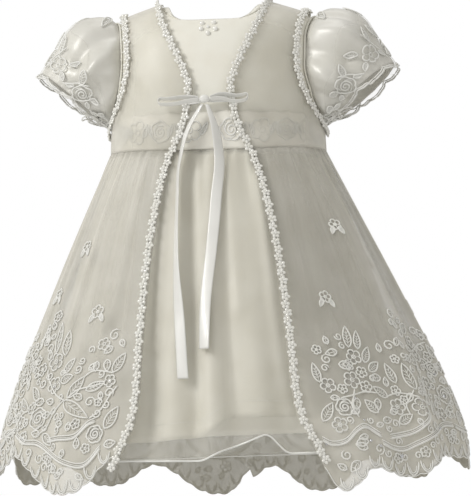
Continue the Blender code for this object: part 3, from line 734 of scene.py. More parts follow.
def armhole_angle(z, margin):
    """The angle of the armhole's edge at a height, the armhole being cut larger by a margin."""
    z = np.asarray(z, float)
    power = np.where(z > ARM_MID, ARM_TOP_POWER, ARM_BASE_POWER)
    share = np.maximum(0.0, 1 - ((z - ARM_MID) / (ARM_HALF + margin)) ** 2) ** power
    return torso_angle(at(TORSO, z)[0] - (ARM_INSET + margin) * share, z)


@functools.lru_cache(maxsize=None)
def armhole_tip_z(margin):
    """Height at which that armhole meets the shoulder line."""
    low, high = ARM_MID, 0.0
    for _ in range(40):
        z = (low + high) / 2
        x = torso(FRONT, armhole_angle(z, margin), z)[0]
        low, high = (z, high) if z < ridge_z(x) else (low, z)
    return low


def armhole_points(turn, margin):
    """Points round the armhole on the wearer's left, from the shoulder forwards and under the arm."""
    tip = armhole_tip_z(margin)
    z = lerp(ARM_MID - ARM_HALF - margin, tip, (1 + np.cos(turn)) / 2)
    angle = armhole_angle(z, margin)
    front, back = torso(FRONT, angle, z), torso(BACK, angle, z)
    return np.where((np.sin(turn) >= 0)[..., None], front, back)


def chest_relief(grid):
    """Height of the soft lines at the points of a panel on the chest, the same on both sides."""
    return relief(CHEST_LINES, np.abs(grid[..., 0]), grid[..., 2], 1.0)


# Skirts

def fold_height(folds, degrees):
    height = np.zeros(np.shape(degrees))
    for centre, half_width, rise in folds:
        away = np.minimum(np.abs((degrees - centre + 180) % 360 - 180), half_width)
        height = height + rise * (0.5 + 0.5 * np.cos(np.pi * away / half_width))
    return height


def skirt_point(table, folds, degrees, z, more=0.0):
    """A point on a skirt's outer face, at an angle from the centre front, moved out by some more."""
    half_width, front, back = at(table, z)
    fall = np.clip((WAIST_Z - z) / SKIRT_DROP, 0.0, 1.0)
    blunt = lerp(BLUNT, 1.0, np.minimum(1.0, fall * 1.8))
    sine, cosine = np.sin(np.radians(degrees)), np.cos(np.radians(degrees))
    depth = np.where(cosine > 0, front, back)
    out_x, out_y = sine / half_width, -cosine / depth
    size = np.hypot(out_x, out_y)
    rise = fold_height(folds, degrees) * fall**1.15 + more
    x = half_width * signed_power(sine, blunt) + out_x / size * rise
    y = -depth * signed_power(cosine, blunt) + out_y / size * rise
    return stacked(x, y, z)


def gathers(degrees, z, counts, depth, reach):
    """Uneven small gathers at the waist that die away down the skirt."""
    turn = np.radians(degrees)
    wave = 0.5 * np.sin(counts[0] * turn + 0.4) + 0.3 * np.sin(counts[1] * turn + 1.9)
    wave = wave + 0.2 * np.sin(counts[2] * turn + 3.1)
    return depth * wave * np.exp(-np.maximum(0.0, WAIST_Z - z) / reach)


def wrapped(degrees):
    return (np.asarray(degrees, float) + 180) % 360 - 180


def line_height(lines, table, degrees, z):
    """Height of a skirt's soft lines."""
    size = at(table, z)[0] * math.pi / 180
    fade = smooth_step((WAIST_Z - z) / 0.02)
    return relief(lines, wrapped(degrees), z, size) * fade


def coat_at(degrees, z):
    """A point on the coat's skirt, creases included."""
    more = gathers(degrees, z, (59, 83, 127), 0.0009, 0.045) + line_height(COAT_LINES, COAT_SKIRT, degrees, z)
    return skirt_point(COAT_SKIRT, COAT_FOLDS, degrees, z, more)


def dress_at(degrees, z, out=0.0):
    """A point on the dress's skirt, creases included, moved out by a distance."""
    more = gathers(degrees, z, (47, 71, 109), 0.0010, 0.060) + line_height(DRESS_LINES, UNDERSKIRT, degrees, z)
    return skirt_point(UNDERSKIRT, SKIRT_FOLDS, degrees, z, more + out)


def hem_at(table, degrees):
    """Height of a wavy hem, rounded where its rows turn."""
    rows = np.array(table, float)
    return sum(np.interp(wrapped(degrees + shift), rows[:, 0], rows[:, 1]) for shift in (-1.2, -0.4, 0.4, 1.2)) / 4


def coat_edge_x(z):
    return at(COAT_EDGE, z)[0]


def coat_degrees(x, z):
    """Angle on the front of the coat's skirt at a distance from the centre and a height."""
    angles = np.linspace(2.0, 70.0, 273)
    found = [np.interp(one_x, skirt_point(COAT_SKIRT, COAT_FOLDS, angles, one_z)[:, 0], angles)
             for one_x, one_z in zip(np.atleast_1d(x), np.atleast_1d(z))]
    return np.array(found)


def coat_hem(degrees):
    """Height of the coat's scalloped hem, round at its low points and sharper at its high ones."""
    rows = np.array(COAT_HEM, float)
    degrees = wrapped(degrees)
    i = np.clip(np.searchsorted(rows[:, 0], degrees, side="right") - 1, 0, len(rows) - 2)
    start, end = rows[i, 1], rows[i + 1, 1]
    share = (degrees - rows[i, 0]) / (rows[i + 1, 0] - rows[i, 0])
    away = np.where(start > end, share, 1 - share)
    high, low = np.maximum(start, end), np.minimum(start, end)
    return low + (high - low) * (0.5 + 0.5 * np.cos(np.pi * away)) ** SCALLOP_ROUND


HEM_ANGLES = np.linspace(-181, 181, 1449)
HEM_RUN = np.concatenate(
    [[0.0], np.cumsum(np.linalg.norm(np.diff(skirt_point(COAT_SKIRT, COAT_FOLDS, HEM_ANGLES, -0.43 + 0 * HEM_ANGLES), axis=0), axis=1))]
)


def scalloped_hem(degrees):
    """The coat's hem with its small scallops, one to each loop of the lace."""
    phase = np.interp(wrapped(degrees), HEM_ANGLES, HEM_RUN) / HEM_LOOP
    return coat_hem(degrees) + HEM_NOTCH * (1 - np.abs(np.sin(np.pi * phase)) ** 0.7)


# Meshes

def new_object(name, points, faces, looks, nodes, smooth=True):
    """A piece of the gown from points and faces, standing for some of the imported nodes."""
    mesh = bpy.data.meshes.new(name)
    mesh.from_pydata(np.asarray(points).tolist(), [], faces)
    if smooth:
        mesh.shade_smooth()
    mesh.materials.append(looks)
    obj = bpy.data.objects.new(name, mesh)
    bpy.context.scene.collection.objects.link(obj)
    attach(obj, "root")
    if nodes:
        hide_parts(*nodes)
    return obj


def grid_faces(rows, columns, closed):
    first = np.arange(columns if closed else columns - 1)
    after = (first + 1) % columns
    faces = []
    for i in range(rows - 1):
        low, high = i * columns, (i + 1) * columns
        faces += np.stack([low + first, low + after, high + after, high + first], axis=1).tolist()
    return faces


def shell(name, grid, looks, nodes, thickness, closed=False, inwards=True):
    """Thin cloth through a grid of points, given its thickness on its inner side."""
    grid = hang(grid)
    rows, columns = grid.shape[:2]
    faces = grid_faces(rows, columns, closed)
    middle = grid.mean(axis=(0, 1)) if closed else np.array([0.0, 0.0, grid[..., 2].mean()])
    flat = grid.reshape(-1, 3)
    corners = flat[np.array(faces)]
    normals = np.cross(corners[:, 1] - corners[:, 0], corners[:, 3] - corners[:, 0])
    if np.sum(normals * (corners.mean(axis=1) - middle)) < 0:
        faces = [face[::-1] for face in faces]
    obj = new_object(name, flat, faces, looks, nodes)
    if thickness:
        solid = obj.modifiers.new("thickness", "SOLIDIFY")
        solid.thickness = thickness
        solid.offset = -1 if inwards else 0
    return obj


def cut_size(grid, closed=False):
    """Width, length and area of the cloth in a grid of points."""
    wide = np.concatenate([grid, grid[:, :1]], axis=1) if closed else grid
    width = np.linalg.norm(np.diff(wide, axis=1), axis=2).sum(axis=1).max()
    length = np.linalg.norm(np.diff(wide, axis=0), axis=2).sum(axis=0).max()
    across, up = wide[:-1, 1:] - wide[:-1, :-1], wide[1:, :-1] - wide[:-1, :-1]
    area = np.linalg.norm(np.cross(across, up), axis=2).sum()
    return float(width), float(length), float(area)


def declare(obj, grid, closed=False):
    """Works out the width, length and area of the cloth in a piece, which nothing uses, and gives the piece back as it
    is.
    """
    width, length, area = cut_size(grid, closed)
    width, length = max(0.01, round(width, 4)), max(0.01, round(length, 4))
    area = min(max(area, 0.31 * width * length), width * length)
    return obj


def tubes(lines, sides=6, flat=0.8):
    """Points and faces of cords. Each line is its points, outward directions, radius and whether it closes."""
    points, faces, count = [], [], 0
    turns = 2 * math.pi * np.arange(sides) / sides
    for line, outward, radius, closed in lines:
        line, outward = np.asarray(line), np.asarray(outward)
        if closed:
            run = np.roll(line, -1, axis=0) - np.roll(line, 1, axis=0)
        else:
            run = np.gradient(line, axis=0)
        run = unit(run)
        side = unit(np.cross(run, outward))
        up = np.cross(side, run)
        radii = np.full(len(line), radius)
        if not closed:
            radii[0] = radii[-1] = radius * 0.45
        ring = (
            line[:, None]
            + side[:, None] * (np.cos(turns)[None, :, None] * radii[:, None, None])
            + up[:, None] * (np.sin(turns)[None, :, None] * radii[:, None, None] * flat)
        )
        n = len(line)
        points.append(ring.reshape(-1, 3))
        for i in range(n if closed else n - 1):
            low, high = count + i * sides, count + ((i + 1) % n) * sides
            faces += [(low + k, low + (k + 1) % sides, high + (k + 1) % sides, high + k) for k in range(sides)]
        if not closed:
            faces.append(tuple(count + k for k in reversed(range(sides))))
            faces.append(tuple(count + (n - 1) * sides + k for k in range(sides)))
        count += n * sides
    return np.concatenate(points), faces


def ball(rings=5, around=8):
    """Points and faces of a ball of radius 1."""
    points = [(0.0, 0.0, 1.0)]
    for i in range(1, rings):
        tilt = math.pi * i / rings
        for k in range(around):
            turn = 2 * math.pi * k / around
            points.append((math.sin(tilt) * math.cos(turn), math.sin(tilt) * math.sin(turn), math.cos(tilt)))
    points.append((0.0, 0.0, -1.0))
    faces = [(0, 1 + k, 1 + (k + 1) % around) for k in range(around)]
    for i in range(rings - 2):
        low, high = 1 + i * around, 1 + (i + 1) * around
        faces += [(low + k, high + k, high + (k + 1) % around, low + (k + 1) % around) for k in range(around)]
    last = 1 + (rings - 2) * around
    end = len(points) - 1
    faces += [(last + k, end, last + (k + 1) % around) for k in range(around)]
    return np.array(points), faces


BALL_POINTS, BALL_FACES = ball()


def balls(places):
    """Points and faces of balls. Each place is a centre, three directions as rows, and three radii."""
    points, faces, count = [], [], 0
    for centre, axes, radii in places:
        points.append(centre + (BALL_POINTS * radii) @ axes)
        faces += [tuple(i + count for i in face) for face in BALL_FACES]
        count += len(BALL_POINTS)
    return np.concatenate(points), faces


def joined(*parts):
    """Several sets of points and faces as one."""
    points, faces, count = [], [], 0
    for some_points, some_faces in parts:
        points.append(some_points)
        faces += [tuple(i + count for i in face) for face in some_faces]
        count += len(some_points)
    return np.concatenate(points), faces


# Lace drawn on a surface

def frames(surface, a, b, step_b=0.0008):
    """Points of a surface with the directions across, up and outward there."""
    a, b = np.asarray(a, float), np.asarray(b, float)
    point = surface(a, b)
    across = surface(a + 0.2, b) - surface(a - 0.2, b)
    up = surface(a, b + step_b) - surface(a, b - step_b)
    normal = unit(np.cross(across, up))
    return point, across / 0.4, up / (2 * step_b), normal


def laid(surface, centre, turn, marks, step_b=0.0008, lift=LACE_LIFT):
    """Marks drawn round a centre, in metres, laid on a surface: lines of points with outward directions."""
    a0, b0 = centre
    _, across, up, _ = frames(surface, np.array([a0]), np.array([b0]), step_b)
    size_a, size_b = np.linalg.norm(across[0]), np.linalg.norm(up[0])
    cosine, sine = math.cos(math.radians(turn)), math.sin(math.radians(turn))
    lines = []
    for mark, radius, closed in marks:
        u, v = mark[:, 0] * cosine - mark[:, 1] * sine, mark[:, 0] * sine + mark[:, 1] * cosine
        point, _, _, normal = frames(surface, a0 + u / size_a, b0 + v / size_b, step_b)
        lines.append((point + normal * (lift + radius * 0.5), normal, radius, closed))
    return lines


def drawn(surface, run, radius, lift=LACE_LIFT, step_b=0.0008, spacing=0.0018, b_unit=0.001, shift=0.0):
    """A smooth cord through a run of places on a surface, moved up the surface by a shift."""
    run = np.array(run, float)
    ends = np.concatenate([[2 * run[0] - run[1]], run, [2 * run[-1] - run[-2]]])
    places = []
    for i in range(1, len(ends) - 2):
        before, start, end, after = ends[i - 1 : i + 3]
        for t in np.linspace(0, 1, 14, endpoint=i == len(ends) - 3):
            places.append(0.5 * (2 * start + (end - before) * t + (2 * before - 5 * start + 4 * end - after) * t * t
                                 + (3 * start - before - 3 * end + after) * t**3))
    places = np.array(places)
    point, _, _, _ = frames(surface, places[:, 0], places[:, 1] * b_unit, step_b)
    reached = np.concatenate([[0.0], np.cumsum(np.linalg.norm(np.diff(point, axis=0), axis=1))])
    even = np.linspace(0, reached[-1], max(4, int(reached[-1] / spacing)))
    a, b = np.interp(even, reached, places[:, 0]), np.interp(even, reached, places[:, 1]) * b_unit + shift
    point, _, _, normal = frames(surface, a, b, step_b)
    return point + normal * (lift + radius * 0.5), normal, radius, False


def flower_marks(size, petals=5):
    """An outlined flower: its petals, their partings and a ring in the middle."""
    turns = np.linspace(0, 2 * math.pi, petals * (7 if size > 0.0055 else 5), endpoint=False)
    reach = size * (0.66 + 0.34 * np.abs(np.sin(petals * turns / 2)) ** 0.55)
    marks = [(np.stack([reach * np.cos(turns), reach * np.sin(turns)], axis=1), CORD, True)]
    turns = np.linspace(0, 2 * math.pi, 9, endpoint=False)
    marks.append((np.stack([np.cos(turns), np.sin(turns)], axis=1) * size * 0.24, CORD * 0.8, True))
    for k in range(petals):
        turn = 2 * math.pi * k / petals
        inner, outer = np.array([math.cos(turn), math.sin(turn)]) * size * 0.34, np.array([math.cos(turn), math.sin(turn)]) * size * 0.60
        marks.append((np.linspace(inner, outer, 3), FINE_CORD, False))
    return marks


def rose_marks(size):
    """An outlined rose: a lobed edge round a coil."""
    turns = np.linspace(0, 2 * math.pi, 40, endpoint=False)
    reach = size * (0.86 + 0.14 * np.abs(np.sin(3 * turns)) ** 0.7)
    marks = [(np.stack([reach * np.cos(turns), reach * np.sin(turns)], axis=1), CORD, True)]
    turns = np.linspace(0, 3.7 * math.pi, 38)
    reach = size * np.linspace(0.64, 0.10, 38)
    marks.append((np.stack([reach * np.cos(turns), reach * np.sin(turns)], axis=1), CORD, False))
    for k in range(3):
        turn = 2 * math.pi * k / 3 + 0.6
        arc = np.linspace(turn, turn + 1.1, 7)
        reach = size * np.linspace(0.84, 0.62, 7)
        marks.append((np.stack([reach * np.cos(arc), reach * np.sin(arc)], axis=1), FINE_CORD, False))
    return marks


def leaf_marks(length, half_width, veins=4):
    """An outlined leaf that points up, with its midrib and veins."""
    share = np.linspace(0, 1, 11 if length > 0.010 else 7)
    swell = half_width * np.sin(np.pi * share**0.8) ** 0.9
    left = np.stack([-swell, length * share], axis=1)
    right = np.stack([swell, length * share], axis=1)[::-1]
    marks = [(np.concatenate([left, right[1:-1]]), CORD, True)]
    marks.append((np.array([[0, 0], [0, length * 0.4], [0, length * 0.8]]), FINE_CORD, False))
    for k in range(veins):
        base = lerp(0.2, 0.62, k / (veins - 1))
        wide = half_width * math.sin(math.pi * (base + 0.12) ** 0.8) ** 0.9 * 0.8
        for side in (-1, 1):
            marks.append((np.array([[0, length * base], [side * wide * 0.5, length * (base + 0.08)],
                                    [side * wide, length * (base + 0.14)]]), FINE_CORD, False))
    return marks


def loop_marks(width, height):
    """A hanging loop of the scalloped edge, one inside another."""
    marks = []
    for wide, tall, low, radius in ((1.0, 1.0, 0.0, CORD), (0.62, 0.72, 0.16, CORD * 0.8)):
        turns = np.linspace(-math.pi / 2, math.pi / 2, 13)
        u = np.sin(turns) * width / 2 * wide
        v = height * low + height * (tall - low) * (1 - np.cos(turns))
        marks.append((np.stack([u, v], axis=1), radius, False))
    return marks


def leaf_lines(surface, leaf, b_unit=0.001, step_b=0.0008, lift=LACE_LIFT):
    """A leaf laid from its base to its tip."""
    a0, b0, a1, b1, half_width = leaf
    _, across, up, _ = frames(surface, np.array([a0]), np.array([b0 * b_unit]), step_b)
    run_a = (a1 - a0) * np.linalg.norm(across[0])
    run_b = (b1 - b0) * b_unit * np.linalg.norm(up[0])
    length = math.hypot(run_a, run_b)
    turn = math.degrees(math.atan2(run_b, run_a)) - 90
    return laid(surface, (a0, b0 * b_unit), turn, leaf_marks(length, half_width / 1000), step_b, lift)


def border_lines(flowers, roses, leaves, stems, swags):
    """The cords of one stretch of the coat's lace."""
    lines = []
    for a, z, size, turn in flowers:
        lines += laid(coat_at, (a, z / 1000), turn, flower_marks(size / 1000))
    for a, z, size, turn in roses:
        lines += laid(coat_at, (a, z / 1000), turn, rose_marks(size / 1000))
    for leaf in leaves:
        lines += leaf_lines(coat_at, leaf)
    for stem in stems:
        lines.append(drawn(coat_at, stem, CORD))
    for swag in swags:
        lines.append(drawn(coat_at, swag, CORD * 1.35))
        lines.append(drawn(coat_at, swag, CORD * 0.8, shift=0.0034))
        lines.append(drawn(coat_at, swag, FINE_CORD, shift=0.0017))
    return lines


def curl_marks(size):
    """A small open curl."""
    turns = np.linspace(0, 2.6 * math.pi, 13)
    reach = size * np.linspace(1.0, 0.22, 13)
    return [(np.stack([reach * np.cos(turns), reach * np.sin(turns)], axis=1), CORD, False)]


def lace_top_z(degrees):
    """Height at which the lace border's top lies."""
    rows = np.array(LACE_TOP)
    share = np.interp(np.abs(wrapped(degrees)), rows[:, 0], rows[:, 1])
    return lerp(WAIST_Z, coat_hem(degrees), share)


def small_lines(first, last, taken, seed):
    """Small curls, leaves and flowers that fill the lace between its larger motifs."""
    random = np.random.default_rng(seed)
    size_a = at(COAT_SKIRT, -0.39)[0] * math.pi / 180
    taken = [(a * size_a, z / 1000, size / 1000) for a, z, size in taken]
    lines = []
    for _ in range(SMALL_TRIES):
        a = float(random.uniform(first, last))
        low, high = float(coat_hem(a)) + 0.0150, float(lace_top_z(a)) - 0.008
        z = lerp(low, high, float(random.uniform(0, 1)) ** 1.25)
        size, kind, turn = float(random.uniform(0.0034, 0.0058)), int(random.integers(0, 5)), float(random.uniform(0, 360))
        if any(math.hypot(a * size_a - x, z - y) < other + size * 0.92 for x, y, other in taken):
            continue
        taken.append((a * size_a, z, size))
        if kind == 0:
            marks = flower_marks(size * 1.05)
        elif kind < 3:
            marks = leaf_marks(size * 2.1, size * 0.62, 2)
        else:
            marks = curl_marks(size)
        lines += laid(coat_at, (a, z), turn, marks)
    return lines


def hem_lines(first, last):
    """The loops of the scalloped edge between two angles, and the cord along the cut."""
    run0, run1 = np.interp([first, last], HEM_ANGLES, HEM_RUN)
    lines = []
    for k in range(math.ceil(run0 / HEM_LOOP), math.floor(run1 / HEM_LOOP)):
        a = float(np.interp((k + 0.5) * HEM_LOOP, HEM_RUN, HEM_ANGLES))
        hem = float(coat_hem(a))
        height = 0.0112 if k % 2 else 0.0098
        lines += laid(coat_at, (a, hem + 0.0016), 0, loop_marks(HEM_LOOP * 0.84, height))
    angles = np.linspace(first, last, int((run1 - run0) / 0.0016))
    hems = scalloped_hem(angles) + 0.0006
    point, _, _, normal = frames(coat_at, angles, hems)
    lines.append((point + normal * 0.0004, normal, FINE_CORD * 1.2, False))
    return lines


def pearls(surface, places, step_b=0.0008):
    """Small beads at places on a surface: angle, second place and radius of each."""
    made = []
    for a, b, radius in places:
        point, across, _, normal = frames(surface, np.array([a]), np.array([b]), step_b)
        axes = np.stack([unit(across[0]), np.cross(normal[0], unit(across[0])), normal[0]])
        made.append((point[0] + normal[0] * radius * 0.8, axes, (radius, radius, radius * 0.8)))
    return made


def normals_of(grid, closed=False):
    """The outward direction at each point of a grid of rows and columns."""
    if closed:
        wide = np.concatenate([grid[:, -1:], grid, grid[:, :1]], axis=1)
        across = np.gradient(wide, axis=1)[:, 1:-1]
    else:
        across = np.gradient(grid, axis=1)
    normals = unit(np.cross(across, np.gradient(grid, axis=0)))
    middle = np.mean(grid, axis=(0, 1)) if closed else np.array([0.0, 0.0, np.mean(grid[:, :, 2])])
    return normals if np.sum(normals * (grid - middle)) > 0 else -normals


def moved_out(grid, distance, closed=False):
    distance = np.asarray(distance, float)
    if distance.ndim == 1:
        distance = distance[:, None, None]
    elif distance.ndim == 2:
        distance = distance[:, :, None]
    return grid + normals_of(grid, closed) * distance


def kept_to(side, grid):
    """Holds a panel to its own side of the shoulder and side seams."""
    grid = grid.copy()
    grid[..., 1] = side * np.maximum(side * grid[..., 1], SEAM_HALF)
    return grid


def mirrored(points):
    return points * np.array([-1.0, 1.0, 1.0])


def even_run(line, spacing, closed=False):
    """Points at even steps along a line."""
    line = np.asarray(line)
    if closed:
        line = np.concatenate([line, line[:1]])
    reached = np.concatenate([[0.0], np.cumsum(np.linalg.norm(np.diff(line, axis=0), axis=1))])
    count = max(2, round(reached[-1] / spacing))
    places = np.linspace(0, reached[-1], count + 1)[: count if closed else count + 1]
    return np.stack([np.interp(places, reached, line[:, axis]) for axis in range(3)], axis=1)


# Materials

def new_looks(name, colour, roughness, **inputs):
    """A material with its main values set, and its node tree and shader."""
    looks = bpy.data.materials.new(name)
    looks.use_nodes = True
    shader = looks.node_tree.nodes["Principled BSDF"]
    shader.inputs["Base Color"].default_value = (*colour, 1.0)
    shader.inputs["Roughness"].default_value = roughness
    for label, value in inputs.items():
        shader.inputs[label.replace("_", " ")].default_value = value
    looks.diffuse_color = (*colour, 1.0)
    return looks, looks.node_tree, shader


def noise(tree, scale, detail=3.0, stretch=(1.0, 1.0, 1.0)):
    """A noise texture on the piece's own coordinates."""
    place = tree.nodes.new("ShaderNodeTexCoord")
    mapping = tree.nodes.new("ShaderNodeMapping")
    mapping.inputs["Scale"].default_value = stretch
    texture = tree.nodes.new("ShaderNodeTexNoise")
    texture.inputs["Scale"].default_value = scale
    texture.inputs["Detail"].default_value = detail
    tree.links.new(place.outputs["Object"], mapping.inputs["Vector"])
    tree.links.new(mapping.outputs["Vector"], texture.inputs["Vector"])
    return texture.outputs["Fac"]


def weave(tree, pitch):
    """Height of a fine woven ground: threads each way on the piece's own coordinates."""
    place = tree.nodes.new("ShaderNodeTexCoord")
    total = None
    for direction in ("X", "Z"):
        wave = tree.nodes.new("ShaderNodeTexWave")
        wave.wave_type = "BANDS"
        wave.bands_direction = direction
        wave.inputs["Scale"].default_value = 0.314 / pitch
        wave.inputs["Distortion"].default_value = 0.4
        tree.links.new(place.outputs["Object"], wave.inputs["Vector"])
        if total is None:
            total = wave.outputs["Fac"]
            continue
        add = tree.nodes.new("ShaderNodeMath")
        add.operation = "ADD"
        tree.links.new(total, add.inputs[0])
        tree.links.new(wave.outputs["Fac"], add.inputs[1])
        total = add.outputs["Value"]
    return total


def ramp(tree, source, low, high, first, last):
    """A colour or grey between two values as a source goes from low to high."""
    made = tree.nodes.new("ShaderNodeValToRGB")
    made.color_ramp.elements[0].position = low
    made.color_ramp.elements[1].position = high
    made.color_ramp.elements[0].color = (*first, 1.0)
    made.color_ramp.elements[1].color = (*last, 1.0)
    tree.links.new(source, made.inputs["Fac"])
    return made.outputs["Color"]


def bump(tree, shader, height, strength, distance):
    made = tree.nodes.new("ShaderNodeBump")
    made.inputs["Strength"].default_value = strength
    made.inputs["Distance"].default_value = distance
    tree.links.new(height, made.inputs["Height"])
    tree.links.new(made.outputs["Normal"], shader.inputs["Normal"])


def tinted(name, first, last, roughness, strength=0.25, pitch=0.0005, scale=38.0, **inputs):
    """Woven cloth whose colour wanders a little, with its weave as bump."""
    looks, tree, shader = new_looks(name, first, roughness, **inputs)
    colour = ramp(tree, noise(tree, scale), 0.35, 0.65, first, last)
    tree.links.new(colour, shader.inputs["Base Color"])
    bump(tree, shader, weave(tree, pitch), strength, 0.00008)
    return looks, tree, shader


def sheer(name, first, last, low, high, denser, **inputs):
    """Sheer cloth: its cover is greater where it is seen edge on and towards the hem."""
    looks, tree, shader = tinted(name, first, last, 0.42, **inputs)
    facing = tree.nodes.new("ShaderNodeLayerWeight")
    facing.inputs["Blend"].default_value = 0.35
    cover = ramp(tree, facing.outputs["Facing"], 0.10, 0.85, (low,) * 3, (high,) * 3)
    thread = ramp(tree, weave(tree, 0.0006), 0.4, 1.6, (0.86,) * 3, (1.0,) * 3)
    place = tree.nodes.new("ShaderNodeTexCoord")
    split = tree.nodes.new("ShaderNodeSeparateXYZ")
    tree.links.new(place.outputs["Object"], split.inputs["Vector"])
    hemwards = tree.nodes.new("ShaderNodeMapRange")
    for label, value in (("From Min", -0.30), ("From Max", -0.42), ("To Min", 0.0), ("To Max", denser)):
        hemwards.inputs[label].default_value = value
    tree.links.new(split.outputs["Z"], hemwards.inputs["Value"])
    total = tree.nodes.new("ShaderNodeMath")
    total.operation = "MULTIPLY_ADD"
    total.use_clamp = True
    tree.links.new(cover, total.inputs[0])
    tree.links.new(thread, total.inputs[1])
    tree.links.new(hemwards.outputs["Result"], total.inputs[2])
    tree.links.new(total.outputs["Value"], shader.inputs["Alpha"])
    return looks


def make_looks():
    """Every cloth, thread, bead and stone of the gown."""
    satin, _, _ = tinted("satin", (0.90, 0.88, 0.80), (0.93, 0.92, 0.85), 0.34, Sheen_Weight=0.15, Coat_Weight=0.10)
    sleeve, _, _ = tinted("sleeve_satin", (0.74, 0.73, 0.68), (0.80, 0.79, 0.75), 0.30, Coat_Weight=0.15, Coat_Roughness=0.25, Specular_IOR_Level=0.9)
    under, _, _ = tinted("underskirt_satin", (0.82, 0.80, 0.72), (0.87, 0.85, 0.78), 0.38, Sheen_Weight=0.10)
    thread, _, _ = tinted("lace_thread", (0.90, 0.90, 0.87), (0.95, 0.95, 0.93), 0.55, 0.5, 0.0004, 160.0, Sheen_Weight=0.2)
    band, _, _ = tinted("waist_tape", (0.92, 0.90, 0.83), (0.95, 0.93, 0.87), 0.50, Sheen_Weight=0.1)
    ribbon, _, _ = tinted("ribbon_satin", (0.86, 0.86, 0.84), (0.91, 0.91, 0.89), 0.24, Coat_Weight=0.20)
    pearl, tree, shader = new_looks("pearl", (0.90, 0.89, 0.85), 0.18, Coat_Weight=0.6)
    colour = ramp(tree, noise(tree, 300.0), 0.3, 0.7, (0.86, 0.85, 0.80), (0.95, 0.95, 0.93))
    tree.links.new(colour, shader.inputs["Base Color"])
    bump(tree, shader, noise(tree, 900.0), 0.1, 0.00005)
    stone, tree, shader = new_looks("clear_stone", (0.74, 0.75, 0.78), 0.08, Metallic=0.9)
    bump(tree, shader, noise(tree, 2500.0, 0.0), 0.6, 0.0002)
    return {
        "satin": satin,
        "sleeve": sleeve,
        "under": under,
        "coat": sheer("coat_organza", (0.80, 0.78, 0.71), (0.87, 0.85, 0.79), 0.22, 0.82, 0.30),
        # A darker, warmer and denser copy of the coat's organza: painted shade for the inner face of the coat's back
        # skirt, which is seen in shade below the hem.
        "inside": sheer("coat_organza_inside_painted_shade", (0.46, 0.44, 0.37), (0.54, 0.52, 0.45), 0.40, 0.90, 0.40),
        "over": sheer("overskirt_organza", (0.84, 0.82, 0.75), (0.91, 0.90, 0.84), 0.16, 0.60, 0.0),
        "net": sheer("lace_net", (0.95, 0.94, 0.89), (0.98, 0.97, 0.93), 0.05, 0.22, 0.14),
        "band": band,
        "thread": thread,
        "ribbon": ribbon,
        "pearl": pearl,
        "stone": stone,
    }


# Bodice and its layers

def bodice_grid(side, left, right, top_z, columns, rows):
    """Points of a bodice panel. left and right each give an edge's angle at a height, and its top height."""
    (left_angle, left_top), (right_angle, right_top) = left, right
    u, v = np.asarray(columns), np.asarray(rows)[:, None]
    angle = lerp(left_angle(left_top), right_angle(right_top), u)
    z = lerp(left_top, right_top, u)
    for _ in range(4):
        z = top_z(torso(side, angle, z)[:, 0])
    start = left_angle(lerp(WAIST_Z, left_top, v))
    end = right_angle(lerp(WAIST_Z, right_top, v))
    return torso(side, lerp(start, end, u[None]), lerp(WAIST_Z, z[None], v))


def armhole_edge(sign, margin=0.0):
    return (lambda z: sign * armhole_angle(z, margin)), armhole_tip_z(margin)


def half_columns(margin, inner, outer):
    """Columns from the centre to the armhole, one of them at the corner of the neckline."""
    corner = torso_angle(NECK_HALF, 0.0) / armhole_angle(armhole_tip_z(margin), margin)
    inner_shares = 1 - (1 - np.linspace(0, 1, inner)) ** 1.7
    return np.concatenate([corner * inner_shares, lerp(corner, 1.0, np.linspace(0, 1, outer + 1)[1:])])


def whole_columns(margin, inner, outer):
    half = half_columns(margin, inner, outer)
    return np.concatenate([(1 - half[:0:-1]) / 2, (1 + half) / 2])


def panel_rows(count):
    """Rows of a bodice panel, closer together towards the shoulder."""
    return np.linspace(0, 1, count) ** 0.85


def build_bodice(looks):
    rows = panel_rows(56)
    front = bodice_grid(
        FRONT, armhole_edge(-1), armhole_edge(1), lambda x: neck_z(x, FRONT_NECK_DROP), whole_columns(0.0, 26, 12), rows
    )
    front = moved_out(front, relief(BODICE_LINES, front[..., 0], front[..., 2], 1.0))
    front = kept_to(FRONT, front)
    obj = shell("satin_bodice_front", front, looks["satin"], ["bodice_front"], SATIN_SHELL)
    declare(obj, front)
    centre = (lambda z: 0.0 * z), -BACK_NECK_DROP
    back = bodice_grid(
        BACK, centre, armhole_edge(1), lambda x: neck_z(x, BACK_NECK_DROP), half_columns(0.0, 26, 12), rows
    )
    back = kept_to(BACK, back)
    back[:, 0, 0] = SEAM_HALF
    for label, grid in (("left", back), ("right", mirrored(back))):
        obj = shell(f"satin_bodice_back_{label}", grid, looks["satin"], [f"bodice_back_{label}"], SATIN_SHELL)
        declare(obj, grid)
    return front


def bodice_surface(side, out):
    """The bodice's outer face moved out by a distance, at a distance from the centre and a height."""
    def point(x, z):
        x, z = np.broadcast_arrays(np.asarray(x, float), np.asarray(z, float))
        place = torso(side, torso_angle(x, z), z)
        right = torso(side, torso_angle(x + 0.0004, z), z) - torso(side, torso_angle(x - 0.0004, z), z)
        up = torso(side, torso_angle(x, z + 0.0004), z + 0.0004) - torso(side, torso_angle(x, z - 0.0004), z - 0.0004)
        normal = unit(np.cross(right, up))
        normal = normal * np.sign(np.sum(normal * place * np.array([0.4, 1.0, 0.0]), axis=-1, keepdims=True))
        return place + normal * out
    return point


def band_top(degrees):
    """Height of the waist lace's scalloped top, low under the arms."""
    rise = smooth_step((BAND_RISE_FROM - np.abs(degrees)) / BAND_RISE_OVER)
    return lerp(BAND_SIDE_Z, BAND_TOP_Z, rise) - BAND_SCALLOP * np.abs(np.cos(math.pi * degrees / 12))


def band_surface(degrees, z):
    return torso(FRONT, np.radians(degrees), z)


